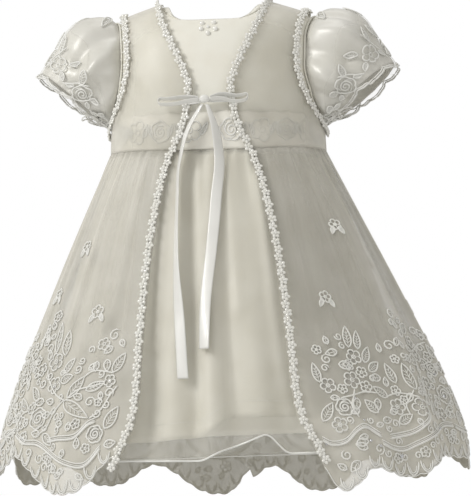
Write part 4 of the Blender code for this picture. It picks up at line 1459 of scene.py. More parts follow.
def build_waist_lace(looks):
    """The lace band round the front of the dress's high waist, seen through the coat."""
    angles = np.linspace(-90, 90, 181)
    share = np.linspace(0, 1, 14)[:, None]
    band = band_surface(angles[None], lerp(WAIST_Z, band_top(angles)[None], share))
    band = kept_to(FRONT, moved_out(band, BAND_OUT))
    ground = shell("waist_lace_ground", band, looks["band"], ["waist_lace"], SHEER_SHELL)
    declare(ground, band)
    lines = []
    lift = BAND_OUT + 0.0001
    for k, degrees in enumerate(range(-72, 73, 16)):
        height = float(band_top(np.array(degrees))) - WAIST_Z
        middle = WAIST_Z + height * 0.52
        marks = rose_marks(height * 0.30) if k % 2 else flower_marks(height * 0.32)
        lines += laid(band_surface, (degrees, middle), 17 * k, marks, lift=lift)
        for side in (-1, 1):
            leaf = (degrees + side * 5.0, middle - 0.004, degrees + side * 7.4, middle + height * 0.20, 1.8)
            lines += leaf_lines(band_surface, leaf, b_unit=1.0, lift=lift)
    add_cords("waist_lace_cords", lines, looks["thread"], [])


def add_cords(name, lines, looks, nodes, mirror=False, sides=5):
    """One piece of merged cords, as the worn gown hangs."""
    points, faces = tubes(lines, sides)
    if mirror:
        points, faces = mirrored(points), [face[::-1] for face in faces]
    return new_object(name, hang(points), faces, looks, nodes)


def build_coat_bodice(looks):
    """The coat's sheer bodice, with soft lines drawn in from the tie."""
    margin = COAT_ARM_MARGIN
    rows = panel_rows(64)
    open_edge = (lambda z: torso_angle(coat_edge_x(z), z)), 0.0
    front = bodice_grid(FRONT, open_edge, armhole_edge(1, margin), ridge_z, np.linspace(0, 1, 60), rows)
    height = chest_relief(front) * smooth_step((front[..., 0] - coat_edge_x(front[..., 2])) / 0.008)
    height = np.maximum(height, -0.0004) * smooth_step((-0.003 - front[..., 2]) / 0.02)
    front = kept_to(FRONT, moved_out(front, COAT_OUT + height))
    for label, grid in (("left", front), ("right", mirrored(front))):
        obj = shell(f"organza_bodice_{label}", grid, looks["coat"], [f"coat_bodice_{label}"], SHEER_SHELL)
        declare(obj, grid)
    edges = armhole_edge(-1, margin), armhole_edge(1, margin)
    back = bodice_grid(BACK, *edges, lambda x: neck_z(x, BACK_NECK_DROP), whole_columns(margin, 26, 14), rows)
    gather = 0.0005 * (np.sin(back[..., 0] * 420) + 0.6 * np.sin(back[..., 0] * 655 + 1.3))
    gather = gather * np.exp(-(back[..., 2] - WAIST_Z) / 0.018)
    back = kept_to(BACK, moved_out(back, COAT_OUT + gather))
    obj = shell("organza_bodice_back", back, looks["coat"], ["coat_bodice_back"], SHEER_SHELL)
    declare(obj, back)


# Sleeves

def sleeve_at(label):
    """The outer face of a sleeve, at a turn in degrees from the shoulder and a share of the way to the cuff."""
    def point(degrees, share):
        degrees, share = np.broadcast_arrays(np.asarray(degrees, float), np.asarray(share, float))
        turn = np.radians(degrees)
        cosine, sine = np.cos(turn), np.sin(turn)
        root = armhole_points(turn, 0.0) + np.array([LAYER_GAP, 0.0, 0.0])
        cuff = CUFF_CENTRE + (cosine * CUFF_HALF_HEIGHT)[..., None] * CUFF_UP
        cuff = cuff + (sine * CUFF_HALF_DEPTH)[..., None] * np.array([0.0, -1.0, 0.0])
        along = share[..., None]
        level = stacked(0.0 * turn, -sine, cosine)
        cuffwards = cosine[..., None] * CUFF_UP + sine[..., None] * np.array([0.0, -1.0, 0.0])
        outward = unit(lerp(level, cuffwards, along))
        top_share = (1 + cosine) / 2
        swell = at(SLEEVE, share)[0] * lerp(UNDERSIDE_SWELL, 1.0, top_share)
        pleat = -0.55 * np.cos(13 * turn) + 0.3 * np.sin(19 * turn + 0.7) + 0.25 * np.sin(31 * turn + 2.0)
        gather = CAP_GATHER * top_share * np.sin(math.pi * np.minimum(1.0, share / 0.5))
        gather = gather + CUFF_GATHER * np.maximum(0.0, (share - 0.5) / 0.5)
        lines = relief(SLEEVE_LINES[label], wrapped(degrees), share, 0.00063, 0.060)
        lines = lines * np.sin(math.pi * np.clip(share, 0, 1)) ** 0.5
        return lerp(root, cuff, along) + outward * (swell + pleat * gather * 1.2 + lines)[..., None]
    return point


def cuff_at(label, lift):
    """Over a sleeve's outer face, and on past the cuff where the share is over 1."""
    sleeve = sleeve_at(label)

    def point(degrees, share):
        degrees, share = np.broadcast_arrays(np.asarray(degrees, float), np.asarray(share, float))
        held = np.minimum(share, 1.0)
        place = sleeve(degrees, held)
        back = sleeve(degrees, held - 0.01)
        side = sleeve(degrees + 0.5, held) - sleeve(degrees - 0.5, held)
        onward = unit(place - back)
        normal = unit(np.cross(onward, side))
        middle = lerp(np.array([0.095, 0.0, -0.06]), CUFF_CENTRE, held[..., None])
        normal = normal * np.sign(np.sum(normal * (place - middle), axis=-1, keepdims=True))
        return place + normal * lift + onward * (np.maximum(0.0, share - 1.0) * 0.060)[..., None]
    return point


def build_sleeves(looks):
    turns = np.linspace(-180, 180, 144, endpoint=False)
    shares = np.linspace(0, 1, 48)[:, None]
    for label in ("left", "right"):
        grid = sleeve_at(label)(turns[None], shares)
        flip = mirrored if label == "right" else (lambda points: points)
        obj = shell(f"satin_sleeve_{label}", flip(grid), looks["sleeve"], [f"sleeve_{label}"], SATIN_SHELL, True)
        declare(obj, grid, True)
        build_cuff(looks, label, flip)
        build_piping(looks, label, grid, flip)
        build_sleeve_lace(looks, label)


def cuff_top(degrees):
    """Share of the sleeve at which the cuff's lace begins."""
    return 0.50 - 0.10 * (0.5 + 0.5 * np.cos(np.radians(degrees) * 6))


def cuff_edge(degrees):
    """Share at which the cuff's scalloped lace ends, past the cuff."""
    lobes = np.abs(np.sin(np.radians(degrees) * CUFF_SCALLOPS / 2)) ** 0.6
    return 1 + CUFF_LACE_DROP / 0.060 * (0.35 + 0.65 * lobes)


def build_cuff(looks, label, flip):
    """Net and corded lace over the lower sleeve and past its cuff."""
    lift = LAYER_GAP + 0.0002 + WALL
    surface = cuff_at(label, lift)
    turns = np.linspace(-180, 180, 168, endpoint=False)
    share = np.linspace(0, 1, 18)[:, None]
    band = surface(turns[None], lerp(cuff_top(turns)[None], cuff_edge(turns)[None], share))
    ground = shell(f"cuff_net_{label}", flip(band), looks["net"], [f"cuff_lace_{label}"], SHEER_SHELL, True)
    declare(ground, band, True)
    lines, lace_step = [], 0.012
    for k in range(CUFF_SCALLOPS):
        degrees = 360 / CUFF_SCALLOPS * (k + 0.5) - 180
        marks = rose_marks(0.0094) if k % 2 else flower_marks(0.0084)
        lines += laid(surface, (degrees, 0.80), 25 * k, marks, lace_step, 0.0003)
        half = 360 / CUFF_SCALLOPS / 2
        for side in (-1, 1):
            leaf = (degrees + side * 10, 0.70, degrees + side * 19, 0.55, 2.8)
            lines += leaf_lines(surface, leaf, 1.0, lace_step, 0.0003)
            leaf = (degrees + side * 13, 0.83, degrees + side * 23, 0.90, 2.2)
            lines += leaf_lines(surface, leaf, 1.0, lace_step, 0.0003)
        loop = np.linspace(degrees - half, degrees + half, 9)
        lines.append(drawn(surface, np.stack([loop, cuff_edge(loop) - 0.010], 1), CORD * 1.2, 0.0003, lace_step, b_unit=1))
        lines.append(drawn(surface, np.stack([loop, cuff_edge(loop) - 0.045], 1), CORD * 0.9, 0.0003, lace_step, b_unit=1))
        stem = ((degrees - half, 0.93), (degrees - half * 0.55, 0.74), (degrees - half * 0.2, 0.60))
        lines.append(drawn(surface, stem, CORD, 0.0003, lace_step, b_unit=1))
    add_cords(f"cuff_cords_{label}", lines, looks["thread"], [], mirror=label == "right")


def build_sleeve_lace(looks, label):
    """A scattering of corded lace at the head of a sleeve, against the armhole."""
    surface = cuff_at(label, 0.0004)
    lines = []
    for degrees, share, size, turn in SLEEVE_FLOWERS:
        lines += laid(surface, (degrees, share), turn, flower_marks(size / 1000), 0.012, 0.0003)
    for leaf in SLEEVE_LEAVES:
        lines += leaf_lines(surface, leaf, 1.0, 0.012, 0.0003)
    add_cords(f"sleeve_head_cords_{label}", lines, looks["thread"], [], mirror=label == "right")


def build_piping(looks, label, sleeve, flip):
    """Satin piping in the crease between bodice and sleeve."""
    degrees = np.linspace(0, 360, 160, endpoint=False)
    turns = np.radians(degrees)
    seam, before = armhole_points(turns, 0.0), armhole_points(turns, 0.003)
    slope = unit(seam - before)
    round_it = unit(armhole_points(turns + 0.05, 0.0) - armhole_points(turns - 0.05, 0.0))
    radial = stacked(0.3 + 0 * turns, -np.sin(turns), np.cos(turns))
    facing = unit(np.cross(slope, round_it))
    facing = facing * np.sign(np.sum(facing * radial, axis=1, keepdims=True))
    first = sleeve_at(label)(degrees, 0.0 * degrees)
    second = sleeve_at(label)(degrees, 0.0 * degrees + 0.02)
    outward = unit(np.cross(second - first, round_it))
    outward = outward * np.sign(np.sum(outward * radial, axis=1, keepdims=True))
    opening = np.sqrt(np.maximum(0.05, (1 + np.sum(facing * outward, axis=1)) / 2))[:, None]
    line = seam + unit(facing + outward) * (PIPING_RADIUS + LAYER_GAP) / opening
    line = (np.roll(line, 1, axis=0) + 2 * line + np.roll(line, -1, axis=0)) / 4
    points, faces = tubes([(line, facing, PIPING_RADIUS, True)], 10, 1.0)
    points = hang(flip(points))
    faces = [face[::-1] for face in faces] if label == "right" else faces
    new_object(f"satin_piping_{label}", points, faces, looks["satin"], [f"armhole_piping_{label}"])


# Skirts

def skirt_shell_grid(surface, angles, hem, rows):
    share = np.linspace(0, 1, rows)[:, None]
    return surface(angles[None], lerp(WAIST_Z, hem(angles)[None], share))


def build_dress_skirts(looks):
    angles = np.linspace(-180, 180, 320, endpoint=False)
    under = skirt_shell_grid(dress_at, angles, lambda a: hem_at(UNDER_HEM, a), 46)
    nodes = ["underskirt_front", "underskirt_back"]
    obj = shell("satin_underskirt", under, looks["under"], nodes, SATIN_SHELL, True)
    declare(obj, under, True)

    def over_at(degrees, z):
        share = np.clip((WAIST_Z - z) / (WAIST_Z - hem_at(OVER_HEM, degrees)), 0, 1)
        ripple = gathers(degrees, z + 0 * degrees, (37, 61, 97), 0.0006, 0.30) * smooth_step(share / 0.2)
        return dress_at(degrees, z, lerp(BAND_OUT, OVER_OUT_HEM, share) + ripple)

    over = skirt_shell_grid(over_at, angles, lambda a: hem_at(OVER_HEM, a), 46)
    nodes = ["overskirt_front", "overskirt_back"]
    obj = shell("organza_overskirt", over, looks["over"], nodes, SHEER_SHELL, True)
    declare(obj, over, True)
    hem_turns = np.linspace(-180, 180, 420, endpoint=False)
    hem = over_at(hem_turns, hem_at(OVER_HEM, hem_turns) + 0.0006)
    outward = unit(hem * np.array([1.0, 1.0, 0.0]))
    points, faces = tubes([(hem, outward, 0.0008, True)], 8, 1.0)
    new_object("overskirt_rolled_hem", hang(points), faces, looks["ribbon"], [])
    under_hem = dress_at(hem_turns, hem_at(UNDER_HEM, hem_turns) + 0.0140, 0.0002)
    points, faces = tubes([(under_hem, outward, 0.0002, True)], 6, 0.6)
    new_object("underskirt_hem_stitches", hang(points), faces, looks["thread"], [])


def coat_edge_degrees(z):
    """Angle of the open front edge on the coat's skirt at each height."""
    z = np.atleast_1d(z)
    return coat_degrees(coat_edge_x(z), z)


def coat_skirt_grids():
    """Points of the coat's skirt: its two fronts and its back."""
    corner = float(coat_edge_degrees(np.array([COAT_CORNER_Z]))[0])
    share = (np.linspace(0, 1, 60) ** 0.93)[:, None]
    grids = {}
    for label, sign in (("left", 1), ("right", -1)):
        edge_hem = float(coat_hem(sign * corner))
        end = float(coat_edge_degrees(np.array([edge_hem]))[0])
        columns = np.linspace(0, 1, 130)
        hem = scalloped_hem(sign * lerp(end, 90.0, columns))
        edges = coat_edge_degrees(lerp(WAIST_Z, edge_hem, share[:, 0]))[:, None]
        grid = coat_at(sign * lerp(edges, 90.0, columns), lerp(WAIST_Z, hem, share))
        grids[label] = kept_to(FRONT, grid)
    angles = np.linspace(90, 270, 280)
    grids["back"] = kept_to(BACK, coat_at(angles, lerp(WAIST_Z, scalloped_hem(angles), share)))
    return grids


def build_coat_skirt(looks):
    for label, grid in coat_skirt_grids().items():
        obj = shell(f"organza_skirt_{label}", grid, looks["coat"], [f"coat_skirt_{label}"], SHEER_SHELL)
        declare(obj, grid)
        # The back skirt's inner face takes the darker organza copy as painted shade, not as a different cloth.
        if label == "back":
            obj.data.materials.append(looks["inside"])
            obj.modifiers["thickness"].material_offset = 1
    right = border_lines(FLOWERS_RIGHT, ROSES_RIGHT, LEAVES_RIGHT, STEMS_RIGHT, SWAGS_RIGHT) + hem_lines(-89, -23.5)
    right += small_lines(-88.5, -26.5, spots(FLOWERS_RIGHT + ROSES_RIGHT, LEAVES_RIGHT, SWAGS_RIGHT), 5)
    add_cords("lace_cords_right", right, looks["thread"], ["lace_border_right"])
    left = border_lines(FLOWERS_LEFT, ROSES_LEFT, LEAVES_LEFT, STEMS_LEFT, SWAGS_LEFT) + hem_lines(24.5, 89)
    left += small_lines(28.0, 88.5, spots(FLOWERS_LEFT + ROSES_LEFT, LEAVES_LEFT, SWAGS_LEFT), 9)
    add_cords("lace_cords_left", left, looks["thread"], ["lace_border_left"])
    back = back_lines() + hem_lines(91, 180) + hem_lines(-180, -91)
    add_cords("lace_cords_back", back, looks["thread"], ["lace_border_back"])
    build_fills(looks)
    sprigs = []
    for a, z, size, turn in SPRIGS:
        sprigs += laid(coat_at, (a, z / 1000), turn, flower_marks(size / 1000))
        for side in (-1, 1):
            base = (a + side * 1.2, z - 2.0, a + side * 2.6, z - 9.0, 1.8)
            sprigs += leaf_lines(coat_at, base)
    add_cords("lace_sprigs", sprigs, looks["thread"], [])


def spots(rounds, leaves, swags):
    """Places and sizes of motifs already laid: angle, height in mm and radius in mm."""
    found = [(a, z, size) for a, z, size, _ in rounds]
    for a0, z0, a1, z1, half_width in leaves:
        found += [(lerp(a0, a1, share), lerp(z0, z1, share), half_width) for share in (0.2, 0.5, 0.8)]
    for swag in swags:
        for (a0, z0), (a1, z1) in zip(swag[:-1], swag[1:]):
            found += [(lerp(a0, a1, share), lerp(z0, z1, share) + 1.7, 2.2) for share in (0.0, 0.25, 0.5, 0.75)]
    return found


def back_lines():
    lines, taken = [], []
    for middle in BACK_REPEATS:
        flowers = [(middle + a, z, size, turn) for a, z, size, turn in BACK_FLOWERS]
        roses = [(middle + a, z, size, turn) for a, z, size, turn in BACK_ROSES]
        leaves = [(middle + a, z, middle + tip, top, wide) for a, z, tip, top, wide in BACK_LEAVES]
        stems = [[(middle + a, z) for a, z in stem] for stem in BACK_STEMS]
        swags = [[(middle + a, z) for a, z in swag] for swag in BACK_SWAGS]
        lines += border_lines(flowers, roses, leaves, stems, swags)
        taken += spots(flowers + roses, leaves, swags)
    unwrapped = [(a % 360, z, size) for a, z, size in taken]
    return lines + small_lines(92.0, 268.0, unwrapped, 14)


def disc_fill(surface, centre, size, lobes, step_b=0.0008, lift=0.00025):
    """Points and faces of a thin lobed patch laid on a surface."""
    a0, b0 = centre
    _, across, up, _ = frames(surface, np.array([a0]), np.array([b0]), step_b)
    size_a, size_b = np.linalg.norm(across[0]), np.linalg.norm(up[0])
    turns = np.linspace(0, 2 * math.pi, 30, endpoint=False)
    reach = size * (0.62 + 0.32 * np.abs(np.sin(lobes * turns / 2)) ** 0.55)
    rings = [0.0 * turns, reach * 0.5, reach]
    u = np.stack([ring * np.cos(turns) for ring in rings])
    v = np.stack([ring * np.sin(turns) for ring in rings])
    point, _, _, normal = frames(surface, a0 + u / size_a, b0 + v / size_b, step_b)
    point = point + normal * lift
    middle = point[0].mean(axis=0)
    points = np.concatenate([[middle], point[1], point[2]])
    n = len(turns)
    faces = [(0, 1 + k, 1 + (k + 1) % n) for k in range(n)]
    faces += [(1 + k, 1 + n + k, 1 + n + (k + 1) % n, 1 + (k + 1) % n) for k in range(n)]
    return points, faces


def build_fills(looks):
    """The closer-woven ground inside the petals of the lace on the coat's hem."""
    parts = []
    for a, z, size, _ in FLOWERS_RIGHT + FLOWERS_LEFT:
        parts.append(disc_fill(coat_at, (a, z / 1000), size / 1000, 5))
    for a, z, size, _ in ROSES_RIGHT + ROSES_LEFT:
        parts.append(disc_fill(coat_at, (a, z / 1000), size / 1000, 6))
    for middle in BACK_REPEATS:
        for a, z, size, _ in BACK_FLOWERS + BACK_ROSES:
            parts.append(disc_fill(coat_at, (middle + a, z / 1000), size / 1000, 5))
    points, faces = joined(*parts)
    obj = new_object("lace_filling", hang(points), faces, looks["net"], [])
    solid = obj.modifiers.new("thickness", "SOLIDIFY")
    solid.thickness = 0.00012


# Beaded braid

def front_run():
    """Middle line of the braid up the coat's left edge, with outward directions."""
    top = WAIST_Z - SEAM_GAP
    corner = float(coat_edge_degrees(np.array([COAT_CORNER_Z]))[0])
    low = float(coat_hem(corner)) + 0.004
    z = np.linspace(low, top, 120)
    x = coat_edge_x(z) + TRIM_WIDTH / 2
    degrees = coat_degrees(x, z)
    point, _, _, normal = frames(coat_at, degrees, z)
    lower = point + normal * (TRIM_OUT - COAT_OUT)
    z = np.linspace(top, -0.0015, 60)[1:]
    surface = bodice_surface(FRONT, TRIM_OUT)
    upper = surface(coat_edge_x(z) + TRIM_WIDTH / 2, z)
    line = even_run(np.concatenate([lower, upper]), 0.0015)
    return line, run_outwards(line, lambda p: np.stack([p[:, 0] * 0.45, p[:, 1] * 1.0, 0 * p[:, 2]], axis=1))


def run_outwards(line, guess):
    """Outward directions square to a line of points, nearest to a guess."""
    run = unit(np.gradient(line, axis=0))
    wanted = unit(guess(line))
    return unit(wanted - run * np.sum(wanted * run, axis=1, keepdims=True))


def neck_run():
    """Middle line of the braid along the coat's back neck."""
    x = np.linspace(-0.0475, 0.0475, 160)
    z = neck_z(x, BACK_NECK_DROP) - TRIM_WIDTH / 2
    line = bodice_surface(BACK, TRIM_OUT + NECK_TRIM_LIFT)(x, z)
    line = even_run(line, 0.0015)
    return line, run_outwards(line, lambda p: np.stack([p[:, 0] * 0.2, p[:, 1], 0.4 * np.abs(p[:, 1])], axis=1))


def armhole_run():
    """Middle line of the braid round the coat's left armhole."""
    turns = np.linspace(0, 2 * math.pi, 320, endpoint=False)
    margin = COAT_ARM_MARGIN + 0.0002 + TRIM_WIDTH / 2
    band = armhole_points(turns, margin)
    slope = armhole_points(turns, margin - 0.001) - armhole_points(turns, margin + 0.001)
    round_it = np.roll(band, -1, axis=0) - np.roll(band, 1, axis=0)
    facing = unit(np.cross(slope, round_it))
    outward = band * np.array([0.0, 1.0, 0.0]) + np.array([0.02, 0.0, 0.0])
    facing = facing * np.sign(np.sum(facing * outward, axis=1, keepdims=True))
    kernel = [np.roll(facing, k, axis=0) for k in range(-6, 7)]
    facing = unit(sum(kernel))
    line = even_run(band + facing * TRIM_OUT, 0.0015, closed=True)
    near = [int(np.argmin(np.sum((band - p) ** 2, axis=1))) for p in line]
    return line, facing[near]


def braid_flower(centre, run, normal, turn):
    """Five flattened beads round a small one."""
    side = np.cross(normal, run)
    places = []
    for k in range(5):
        angle = turn + 2 * math.pi * k / 5
        out = math.cos(angle) * run + math.sin(angle) * side
        axes = np.stack([out, np.cross(normal, out), normal])
        radii = np.array([PETAL_RADIUS, PETAL_RADIUS * 0.86, PETAL_HEIGHT])
        places.append((centre + out * PETAL_REACH + normal * 0.0006, axes, radii))
    axes = np.stack([run, side, normal])
    places.append((centre + normal * 0.0014, axes, np.full(3, FLOWER_CENTRE_RADIUS)))
    return places


def build_braid(looks, name, node, line, facing, closed, mirror):
    """Beaded flowers over two crossing cords on a narrow net tape."""
    run = unit(np.roll(line, -1, axis=0) - np.roll(line, 1, axis=0)) if closed else unit(np.gradient(line, axis=0))
    side = np.cross(facing, run)
    widths = np.array([-0.5, -0.25, 0.0, 0.25, 0.5]) * (TRIM_WIDTH - 0.0024)
    tape = line[None] + side[None] * widths[:, None, None] - facing[None] * 0.0004
    flip = mirrored if mirror else (lambda points: points)
    ground = shell(f"{name}_tape", flip(tape), looks["net"], [node], SHEER_SHELL, closed)
    declare(ground, tape, closed)
    reach = np.arange(len(line)) * 0.0015
    wave = np.sin(2 * math.pi * reach / BRAID_PITCH)[:, None]
    cords = [(line + side * wave * sign * 0.0022 + facing * (0.0001 + 0.0002 * sign), facing, 0.00045, closed)
             for sign in (-1, 1)]
    add_cords(f"{name}_cords", cords, looks["thread"], [], mirror=mirror, sides=5)
    length = len(line) * 0.0015
    count = max(2, round(length / BRAID_PITCH))
    places = []
    for k in range(count):
        i = min(len(line) - 1, round((k + 0.5) / count * len(line)))
        zigzag = 0.0006 if k % 2 else -0.0006
        places += braid_flower(line[i] + side[i] * zigzag, run[i], facing[i], 0.3 + 0.9 * (k % 3))
    points, faces = balls(places)
    if mirror:
        points, faces = mirrored(points), [face[::-1] for face in faces]
    new_object(f"{name}_beads", hang(points), faces, looks["pearl"], [])


def build_trims(looks):
    line, facing = front_run()
    build_braid(looks, "front_braid_left", "front_trim_left", line, facing, False, False)
    build_braid(looks, "front_braid_right", "front_trim_right", line, facing, False, True)
    line, facing = armhole_run()
    build_braid(looks, "armhole_braid_left", "armhole_trim_left", line, facing, True, False)
    build_braid(looks, "armhole_braid_right", "armhole_trim_right", line, facing, True, True)
    line, facing = neck_run()
    build_braid(looks, "back_neck_braid", "back_neck_trim", line, facing, False, False)


def build_stones(looks):
    """Clear stones and small pearls sewn on the lace, and the beaded flower under the dress's neckline."""
    stones = [(a, z / 1000, radius / 1000) for a, z, radius in STONES]
    points, faces = balls(pearls(coat_at, stones))
    new_object("lace_stones", hang(points), faces, looks["stone"], [])
    centres = [(a, z / 1000, 0.0009) for a, z, size, _ in FLOWERS_RIGHT + FLOWERS_LEFT + SPRIGS]
    for middle in BACK_REPEATS:
        centres += [(middle + a, z / 1000, 0.0009) for a, z, _, _ in BACK_FLOWERS]
    points, faces = balls(pearls(coat_at, centres))
    new_object("lace_pearls", hang(points), faces, looks["pearl"], [])
    surface = bodice_surface(FRONT, 0.0)
    places = []
    for dx, dz, size in NECK_FLOWER:
        place = surface(np.array([dx]), np.array([dz]))[0]
        axes = np.eye(3)[[0, 2, 1]] * np.array([[1.0], [1.0], [-1.0]])
        places.append((place + np.array([0.0, -size * 0.4, 0.0]), axes, np.array([size, size, size * 0.5])))
    points, faces = balls(places)
    new_object("neck_flower", hang(points), faces, looks["pearl"], [])


# Ribbon

def strip(name, node, middles, widths, across, looks, curl=0.0, inwards=True):
    """A ribbon along its middle line, its width laid along a direction at each point."""
    shares = np.linspace(-0.5, 0.5, 9)
    run = unit(np.gradient(middles, axis=0))
    facing = unit(np.cross(across, run))
    facing = facing * np.where(np.sum(facing * np.array([0.0, 1.0, 0.0]), axis=1, keepdims=True) > 0, -1, 1)
    grid = middles[:, None] + across[:, None] * (widths[:, None] * shares)[..., None]
    grid = grid - facing[:, None] * (curl * (2 * shares) ** 2)[None, :, None]
    obj = shell(name, grid, looks["ribbon"], [node], SATIN_SHELL, inwards=inwards)
    return obj, grid


def build_tie(looks):
    side = float(bodice_surface(FRONT, 0.0)(TIE_HALF, TIE_Z)[1])
    face = side - TRIM_OUT - TIE_GAP - RIBBON_WALL
    x = np.linspace(-TIE_HALF, TIE_HALF, 61)
    pinch = 1 - 0.42 * np.exp(-(((x - KNOT_X) / 0.007) ** 2))
    middles = np.stack([x, face + 0.0004 * np.cos(x * 300), TIE_Z + 0.0006 * np.sin(x * 130)], axis=1)
    across = np.tile([0.0, 0.0, 1.0], (61, 1))
    obj, grid = strip("satin_tie", "ribbon_tie", middles, TIE_WIDTH * pinch, across, looks)
    declare(obj, grid)
    return face


def build_knot(looks, centre):
    """The knot: a rounded body with two wraps pressed into it."""
    turns, tilts = 40, 22
    points = [centre + np.array([0.0, 0.0, KNOT_CAGE[2] * 0.36])]
    for i in range(1, tilts):
        tilt = math.pi * i / tilts
        for k in range(turns):
            turn = 2 * math.pi * k / turns
            x, y, z = math.sin(tilt) * math.cos(turn), math.sin(tilt) * math.sin(turn), math.cos(tilt)
            pinch = 1 - 0.10 * math.exp(-(((z - 0.25 * x) / 0.18) ** 2)) - 0.06 * math.exp(-(((z + 0.5 - 0.2 * x) / 0.14) ** 2))
            half = np.array([KNOT_CAGE[0] * 0.42, KNOT_CAGE[1] * 0.40, KNOT_CAGE[2] * 0.36]) * pinch
            points.append(centre + np.array([x, y, z]) * half)
    points.append(centre - np.array([0.0, 0.0, KNOT_CAGE[2] * 0.36]))
    faces = [(0, 1 + k, 1 + (k + 1) % turns) for k in range(turns)]
    for i in range(tilts - 2):
        low, high = 1 + i * turns, 1 + (i + 1) * turns
        faces += [(low + k, high + k, high + (k + 1) % turns, low + (k + 1) % turns) for k in range(turns)]
    last, end = 1 + (tilts - 2) * turns, len(points) - 1
    faces += [(last + k, end, last + (k + 1) % turns) for k in range(turns)]
    new_object("satin_knot", hang(np.array(points)), faces, looks["ribbon"], ["ribbon_knot"])


def build_loop(looks, label, centre, side, reach, rise, wave):
    """A narrow loop of the bow: out from the knot, round and back below, open in the middle."""
    out = np.linspace(0, 1, 40)
    turns = np.linspace(0, math.pi, 14)[1:-1]
    straight = reach - LOOP_OPEN
    outs = np.concatenate([out * straight, straight + LOOP_OPEN * np.sin(turns), out[::-1] * straight])
    swell = LOOP_OPEN * np.minimum(1.0, out / 0.5) ** 0.8 + 0.0005
    lifts = np.concatenate([swell, LOOP_OPEN * np.cos(turns), -swell[::-1]])
    share = outs / reach
    depths = 0.0006 * np.sin(math.pi * share)
    bend = wave * np.sin(2 * math.pi * share) + rise * share
    middles = centre + np.stack([side * (KNOT_HALF + SEAM_GAP + outs), depths, lifts + bend], axis=1)
    across = unit(stacked(0.0 * share, -0.80 + 0 * share, 0.60 - 0.35 * share))
    widths = lerp(LOOP_ROOT_WIDTH, LOOP_WIDTH * 0.62, np.minimum(1.0, share * 2))
    obj, grid = strip(f"satin_loop_{label}", f"ribbon_loop_{label}", middles, widths, across, looks, inwards=False)
    declare(obj, grid)


def hanging_y(x, z, clear):
    """Where a tail hangs at each height, in front of the trims above the waist and of the overskirt below it."""
    above = bodice_surface(FRONT, 0.0)(x, np.maximum(z, WAIST_Z))[..., 1] - TRIM_OUT - clear
    degrees = np.degrees(np.arcsin(x / at(UNDERSKIRT, z)[0]))
    hold = lerp(TRIM_OUT, OVER_OUT_HEM, np.minimum(1.0, (WAIST_Z - z) / 0.05))
    below = skirt_point(UNDERSKIRT, SKIRT_FOLDS, degrees, np.minimum(z, WAIST_Z))[..., 1] - hold - clear
    return np.where(z > WAIST_Z, above, below)


def build_tail(looks, label, table, centre):
    top = table[-1][0]
    z = np.linspace(top, table[0][0], 130)
    x, degrees = at(table, z)
    turn = np.radians(degrees)
    clear = np.abs(np.sin(turn)) * RIBBON_WIDTH / 2 + TAIL_CLEAR
    share = np.minimum(1.0, (top - z) / TAIL_LEAVE)
    y = lerp(centre[1], hanging_y(x, z, clear), share)
    y = np.convolve(np.pad(y, 6, mode="edge"), np.ones(13) / 13, mode="valid")
    middles = np.stack([x, y - 0.0004, z], axis=1)
    across = stacked(np.cos(turn), -np.sin(turn), 0 * turn)
    widths = lerp(0.0035, RIBBON_WIDTH, share)
    obj, grid = strip(f"satin_tail_{label}", f"ribbon_tail_{label}", middles, widths, across, looks, 0.0005)
    declare(obj, grid)


def build_ribbon(looks):
    face = build_tie(looks)
    centre = np.array([KNOT_X, face - LAYER_GAP - KNOT_DEEP, TIE_Z])
    build_knot(looks, centre)
    build_loop(looks, "right", centre, -1, 0.0370, -0.0010, 0.0006)
    build_loop(looks, "left", centre, 1, 0.0345, 0.0015, 0.0014)
    build_tail(looks, "right", TAIL_RIGHT, centre)
    build_tail(looks, "left", TAIL_LEFT, centre)


# Light, floor and camera

def build_camera():
    azimuth, elevation, roll = (math.radians(a) for a in (CAMERA_AZIMUTH, CAMERA_ELEVATION, CAMERA_ROLL))
    back = Vector((math.sin(azimuth) * math.cos(elevation), -math.cos(azimuth) * math.cos(elevation), math.sin(elevation)))
    right = Vector((math.cos(azimuth), math.sin(azimuth), 0.0))
    up = back.cross(right)
    turned_right = right * math.cos(roll) + up * math.sin(roll)
    turned_up = up * math.cos(roll) - right * math.sin(roll)
    target = Vector((0.0, 0.0, CAMERA_TARGET_Z)) + right * CAMERA_ACROSS + up * CAMERA_UP
    data = bpy.data.cameras.new("photo_camera")
    data.sensor_fit = "HORIZONTAL"
    data.sensor_width = SENSOR_WIDTH
    data.lens = CAMERA_LENS
    camera = bpy.data.objects.new("photo_camera", data)
    turn = Matrix((turned_right, turned_up, back)).transposed()
    camera.matrix_world = Matrix.Translation(target + back * CAMERA_DISTANCE) @ turn.to_4x4()
    bpy.context.scene.collection.objects.link(camera)
    bpy.context.scene.camera = camera


def add_light(name, place, target, size, power, colour):
    data = bpy.data.lights.new(name, "AREA")
    data.shape = "RECTANGLE"
    data.size, data.size_y = size
    data.energy = power
    data.color = colour
    lamp = bpy.data.objects.new(name, data)
    lamp.location = place
    lamp.rotation_euler = (Vector(target) - Vector(place)).to_track_quat("-Z", "Y").to_euler()
    bpy.context.scene.collection.objects.link(lamp)


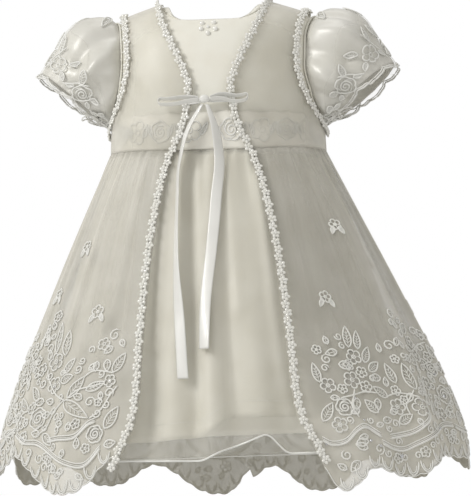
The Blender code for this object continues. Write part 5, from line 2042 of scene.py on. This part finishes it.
def build_studio():
    mesh = bpy.data.meshes.new("studio_floor")
    mesh.from_pydata([(-6, -6, FLOOR_Z), (6, -6, FLOOR_Z), (6, 6, FLOOR_Z), (-6, 6, FLOOR_Z)], [], [(0, 1, 2, 3)])
    looks, tree, shader = new_looks("studio_paper", (0.90, 0.90, 0.90), 0.9)
    colour = ramp(tree, noise(tree, 3.0), 0.3, 0.7, (0.89, 0.89, 0.89), (0.92, 0.92, 0.92))
    tree.links.new(colour, shader.inputs["Base Color"])
    mesh.materials.append(looks)
    floor = bpy.data.objects.new("studio_floor", mesh)
    bpy.context.scene.collection.objects.link(floor)
    world = bpy.data.worlds.new("studio")
    world.use_nodes = True
    tree = world.node_tree
    plain = tree.nodes["Background"]
    plain.inputs["Color"].default_value = (1.0, 0.985, 0.94, 1.0)
    plain.inputs["Strength"].default_value = WORLD_LIGHT
    white = tree.nodes.new("ShaderNodeBackground")
    white.inputs["Color"].default_value = (1.0, 1.0, 1.0, 1.0)
    white.inputs["Strength"].default_value = 1.0
    path = tree.nodes.new("ShaderNodeLightPath")
    mix = tree.nodes.new("ShaderNodeMixShader")
    tree.links.new(path.outputs["Is Camera Ray"], mix.inputs["Fac"])
    tree.links.new(plain.outputs["Background"], mix.inputs[1])
    tree.links.new(white.outputs["Background"], mix.inputs[2])
    tree.links.new(mix.outputs["Shader"], tree.nodes["World Output"].inputs["Surface"])
    bpy.context.scene.world = world
    bpy.context.scene.view_settings.view_transform = "Standard"
    add_light("key", (-1.5, -1.4, 1.15), (0.0, 0.0, -0.22), (0.7, 0.7), KEY_POWER, (1.0, 0.985, 0.95))
    add_light("fill", (1.8, -1.6, 0.1), (0.0, 0.0, -0.25), (1.2, 1.2), FILL_POWER, (1.0, 0.95, 0.86))
    add_light("top", (0.2, 0.6, 1.6), (0.0, 0.0, -0.15), (1.0, 1.0), TOP_POWER, (1.0, 0.98, 0.95))


def main():
    looks = make_looks()
    build_bodice(looks)
    build_waist_lace(looks)
    build_coat_bodice(looks)
    build_sleeves(looks)
    build_dress_skirts(looks)
    build_coat_skirt(looks)
    build_trims(looks)
    build_stones(looks)
    build_ribbon(looks)
    build_studio()
    build_camera()


main()
